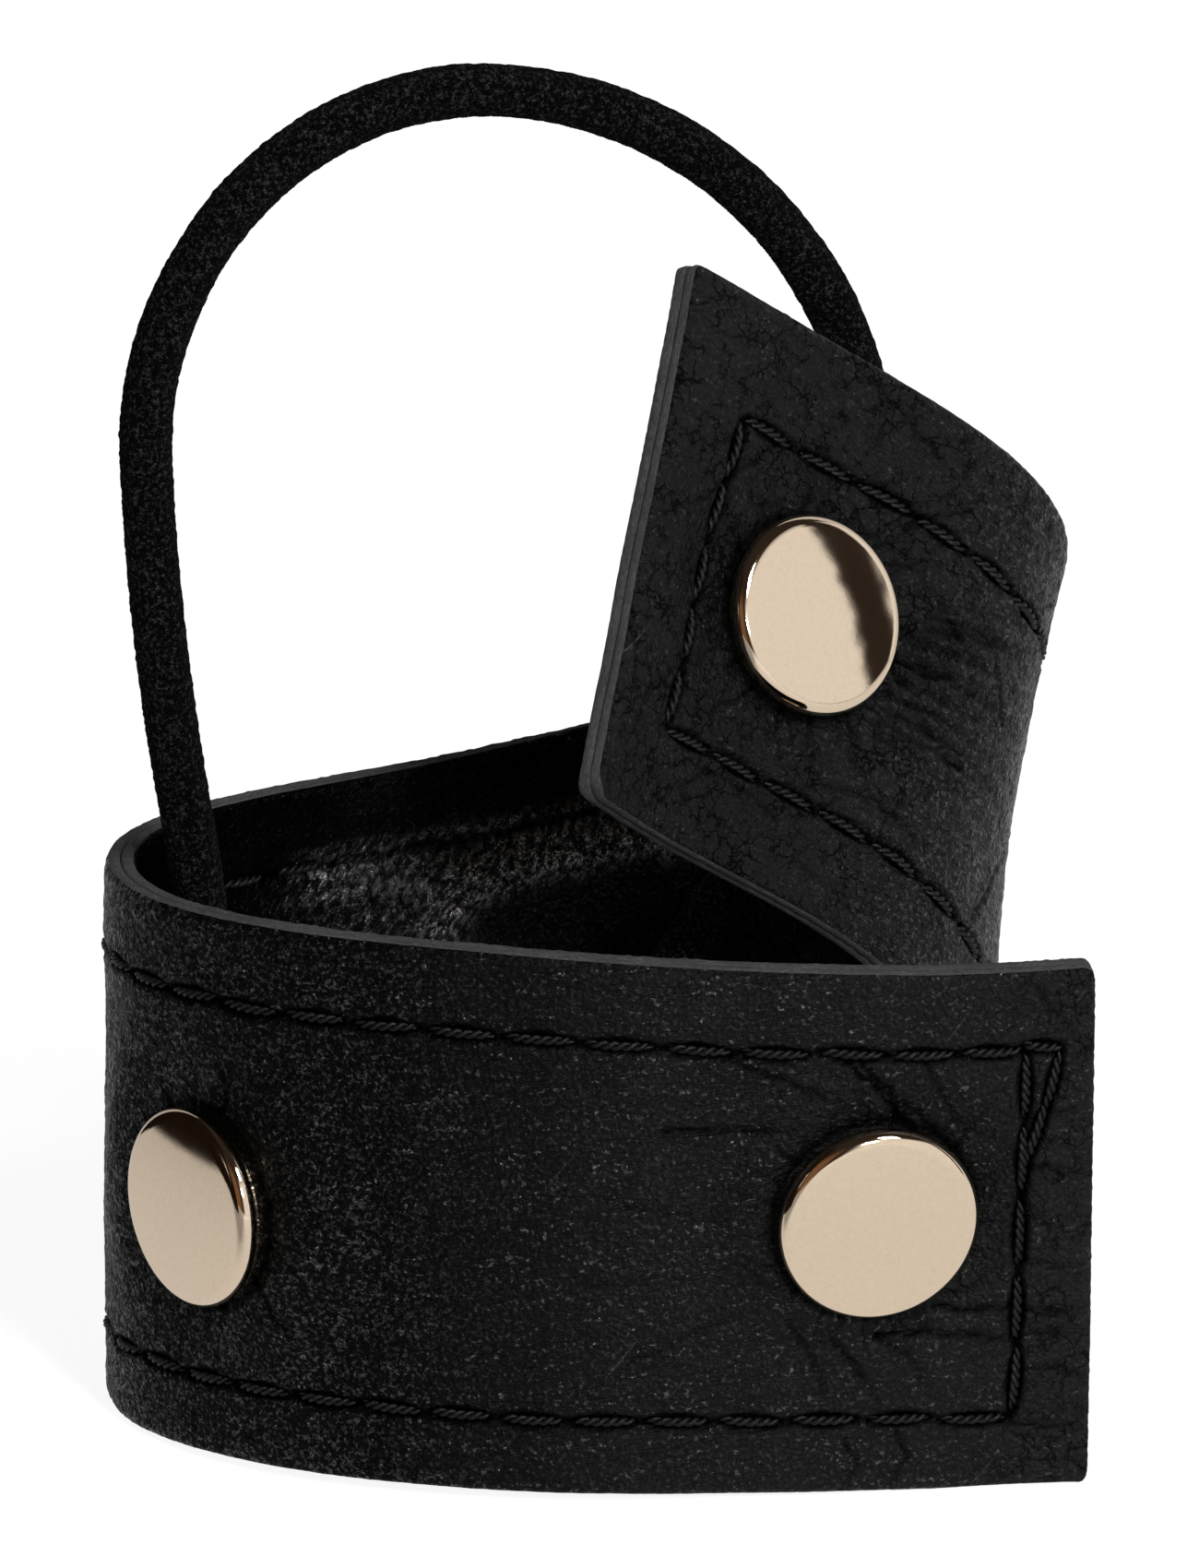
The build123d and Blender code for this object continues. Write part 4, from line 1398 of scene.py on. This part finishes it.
def card_material():
    mat = Material("black_card")
    mottle = mat.noise(mat.object_place(), 20.0, 3.0)
    return mat.surface({
        "Base Color": mat.mix(mottle, (0.010, 0.006, 0.004), (0.022, 0.013, 0.009)),
        "Roughness": 0.9,
        "Specular IOR Level": 0.0})


def stage_object(name, points, faces, material, smooth_shading=False):
    mesh = bpy.data.meshes.new(name)
    mesh.from_pydata(points, [], faces)
    mesh.materials.append(material)
    for polygon in mesh.polygons:
        polygon.use_smooth = smooth_shading
    obj = add_object(name, mesh)
    return obj


def studio_sweep():
    """Floor that curves up into a back wall, just below the product."""
    half_width, drop = 2.4, 0.0001
    front, curve_start, curve_radius, top = -1.6, 0.7, 0.5, 2.2
    profile = [(front, 0.0), (curve_start, 0.0)]
    for i in range(1, 13):
        angle = math.pi / 2 * i / 12
        profile.append((curve_start + curve_radius * math.sin(angle),
                        curve_radius - curve_radius * math.cos(angle)))
    profile.append((curve_start + curve_radius, top))
    points = [(x, y, z - drop) for y, z in profile for x in (-half_width, half_width)]
    faces = [(2 * i, 2 * i + 1, 2 * i + 3, 2 * i + 2) for i in range(len(profile) - 1)]
    stage_object("studio_sweep", points, faces, floor_material(), smooth_shading=True)


def left_card():
    """Dark upright card at the left, hidden from the camera, diffuse light and shadows."""
    height = 0.30
    front, back = (-0.125, -0.16), (-0.135, 0.105)
    corners = [(*front, 0.0), (*back, 0.0), (*back, height), (*front, height)]
    card = stage_object("card_left", corners, [(0, 1, 2, 3)], card_material())
    card.visible_camera = False
    card.visible_diffuse = False
    card.visible_shadow = False


def area_light(name, place, target, size, power):
    light = bpy.data.lights.new(name, "AREA")
    light.shape = "RECTANGLE"
    light.size, light.size_y = size
    light.energy = power
    lamp = bpy.data.objects.new(name, light)
    lamp.location = place
    lamp.rotation_euler = (Vector(target) - Vector(place)).to_track_quat("-Z", "Y").to_euler()
    bpy.context.scene.collection.objects.link(lamp)


def studio_world():
    """White to the camera and dim to diffuse light; reflections see a bright table below,
    bright cards at the right, a bright wall behind and warm dark elsewhere."""
    world = bpy.data.worlds.new("studio")
    bpy.context.scene.world = world
    graph = Graph(world)
    direction = graph.signal("TexCoord", output="Generated")
    x, y, z = graph.signals("SeparateXYZ", "XYZ", {0: direction})
    table = z.step(0.03, -0.02)
    streaks = graph.noise(direction, 16.0, 3.0)
    tilt = (y + z * -0.1) + (streaks - 0.5) * 0.10

    def card(start, end):
        return x.step(0.10, 0.35) * (tilt.step(start, end) * z.step(0.66, 0.50))

    cards = card(-0.105, -0.135).max(card(0.04, 0.10))
    wall = y.step(0.30, 0.50) * z.step(0.50, 0.30)
    lit = table.max(cards).max(wall)
    front_left = x.step(0.05, -0.25) * (y.step(0.0, -0.2) * z.step(0.75, 0.45))
    warm = graph.mix(front_left, (0.030, 0.022, 0.017), (0.20, 0.105, 0.055))
    mirrored = graph.mix(lit, warm, (0.92, 0.92, 0.92))

    reflected = graph.signal("Background", {"Color": mirrored})
    soft = graph.signal("Background", {"Color": (0.08, 0.08, 0.08, 1)})
    white = graph.signal("Background", {"Color": (1, 1, 1, 1)})
    camera_ray, glossy_ray = graph.signals("LightPath", ("Is Camera Ray", "Is Glossy Ray"))
    unseen = graph.signal("MixShader", {0: glossy_ray, 1: soft, 2: reflected})
    seen = graph.signal("MixShader", {0: camera_ray, 1: unseen, 2: white})
    graph.node("OutputWorld", {0: seen})


def studio_camera():
    """Looks down at the origin of the strap curve's frame from the front."""
    pitch = math.radians(16.4896)
    distance = 0.9
    data = bpy.data.cameras.new("camera")
    camera = add_object("camera", data)
    data.sensor_width = 36.0
    data.lens = 339.24706
    data.clip_start, data.clip_end = 0.01, 20
    camera.location = Vector((OFFSET[0] * MM,
                              -distance * math.cos(pitch) + OFFSET[1] * MM,
                              distance * math.sin(pitch) + OFFSET[2] * MM))
    camera.rotation_euler = (math.pi / 2 - pitch, 0, 0)
    bpy.context.scene.camera = camera


studio_sweep()
left_card()
area_light("key_soft", (0.40, -0.50, 0.64), target=(0, 0, 0.04), size=(0.20, 0.20), power=3.6)
area_light("front_low", (0.28, -0.76, 0.38), target=(0, 0, 0.04), size=(0.10, 0.10), power=4.6)
area_light("left_low", (-0.58, -0.44, 0.28), target=(0, 0, 0.03), size=(0.05, 0.20), power=0.9)
studio_world()
studio_camera()
bpy.context.scene.view_settings.view_transform = "Standard"
bpy.context.scene.view_settings.look = "None"
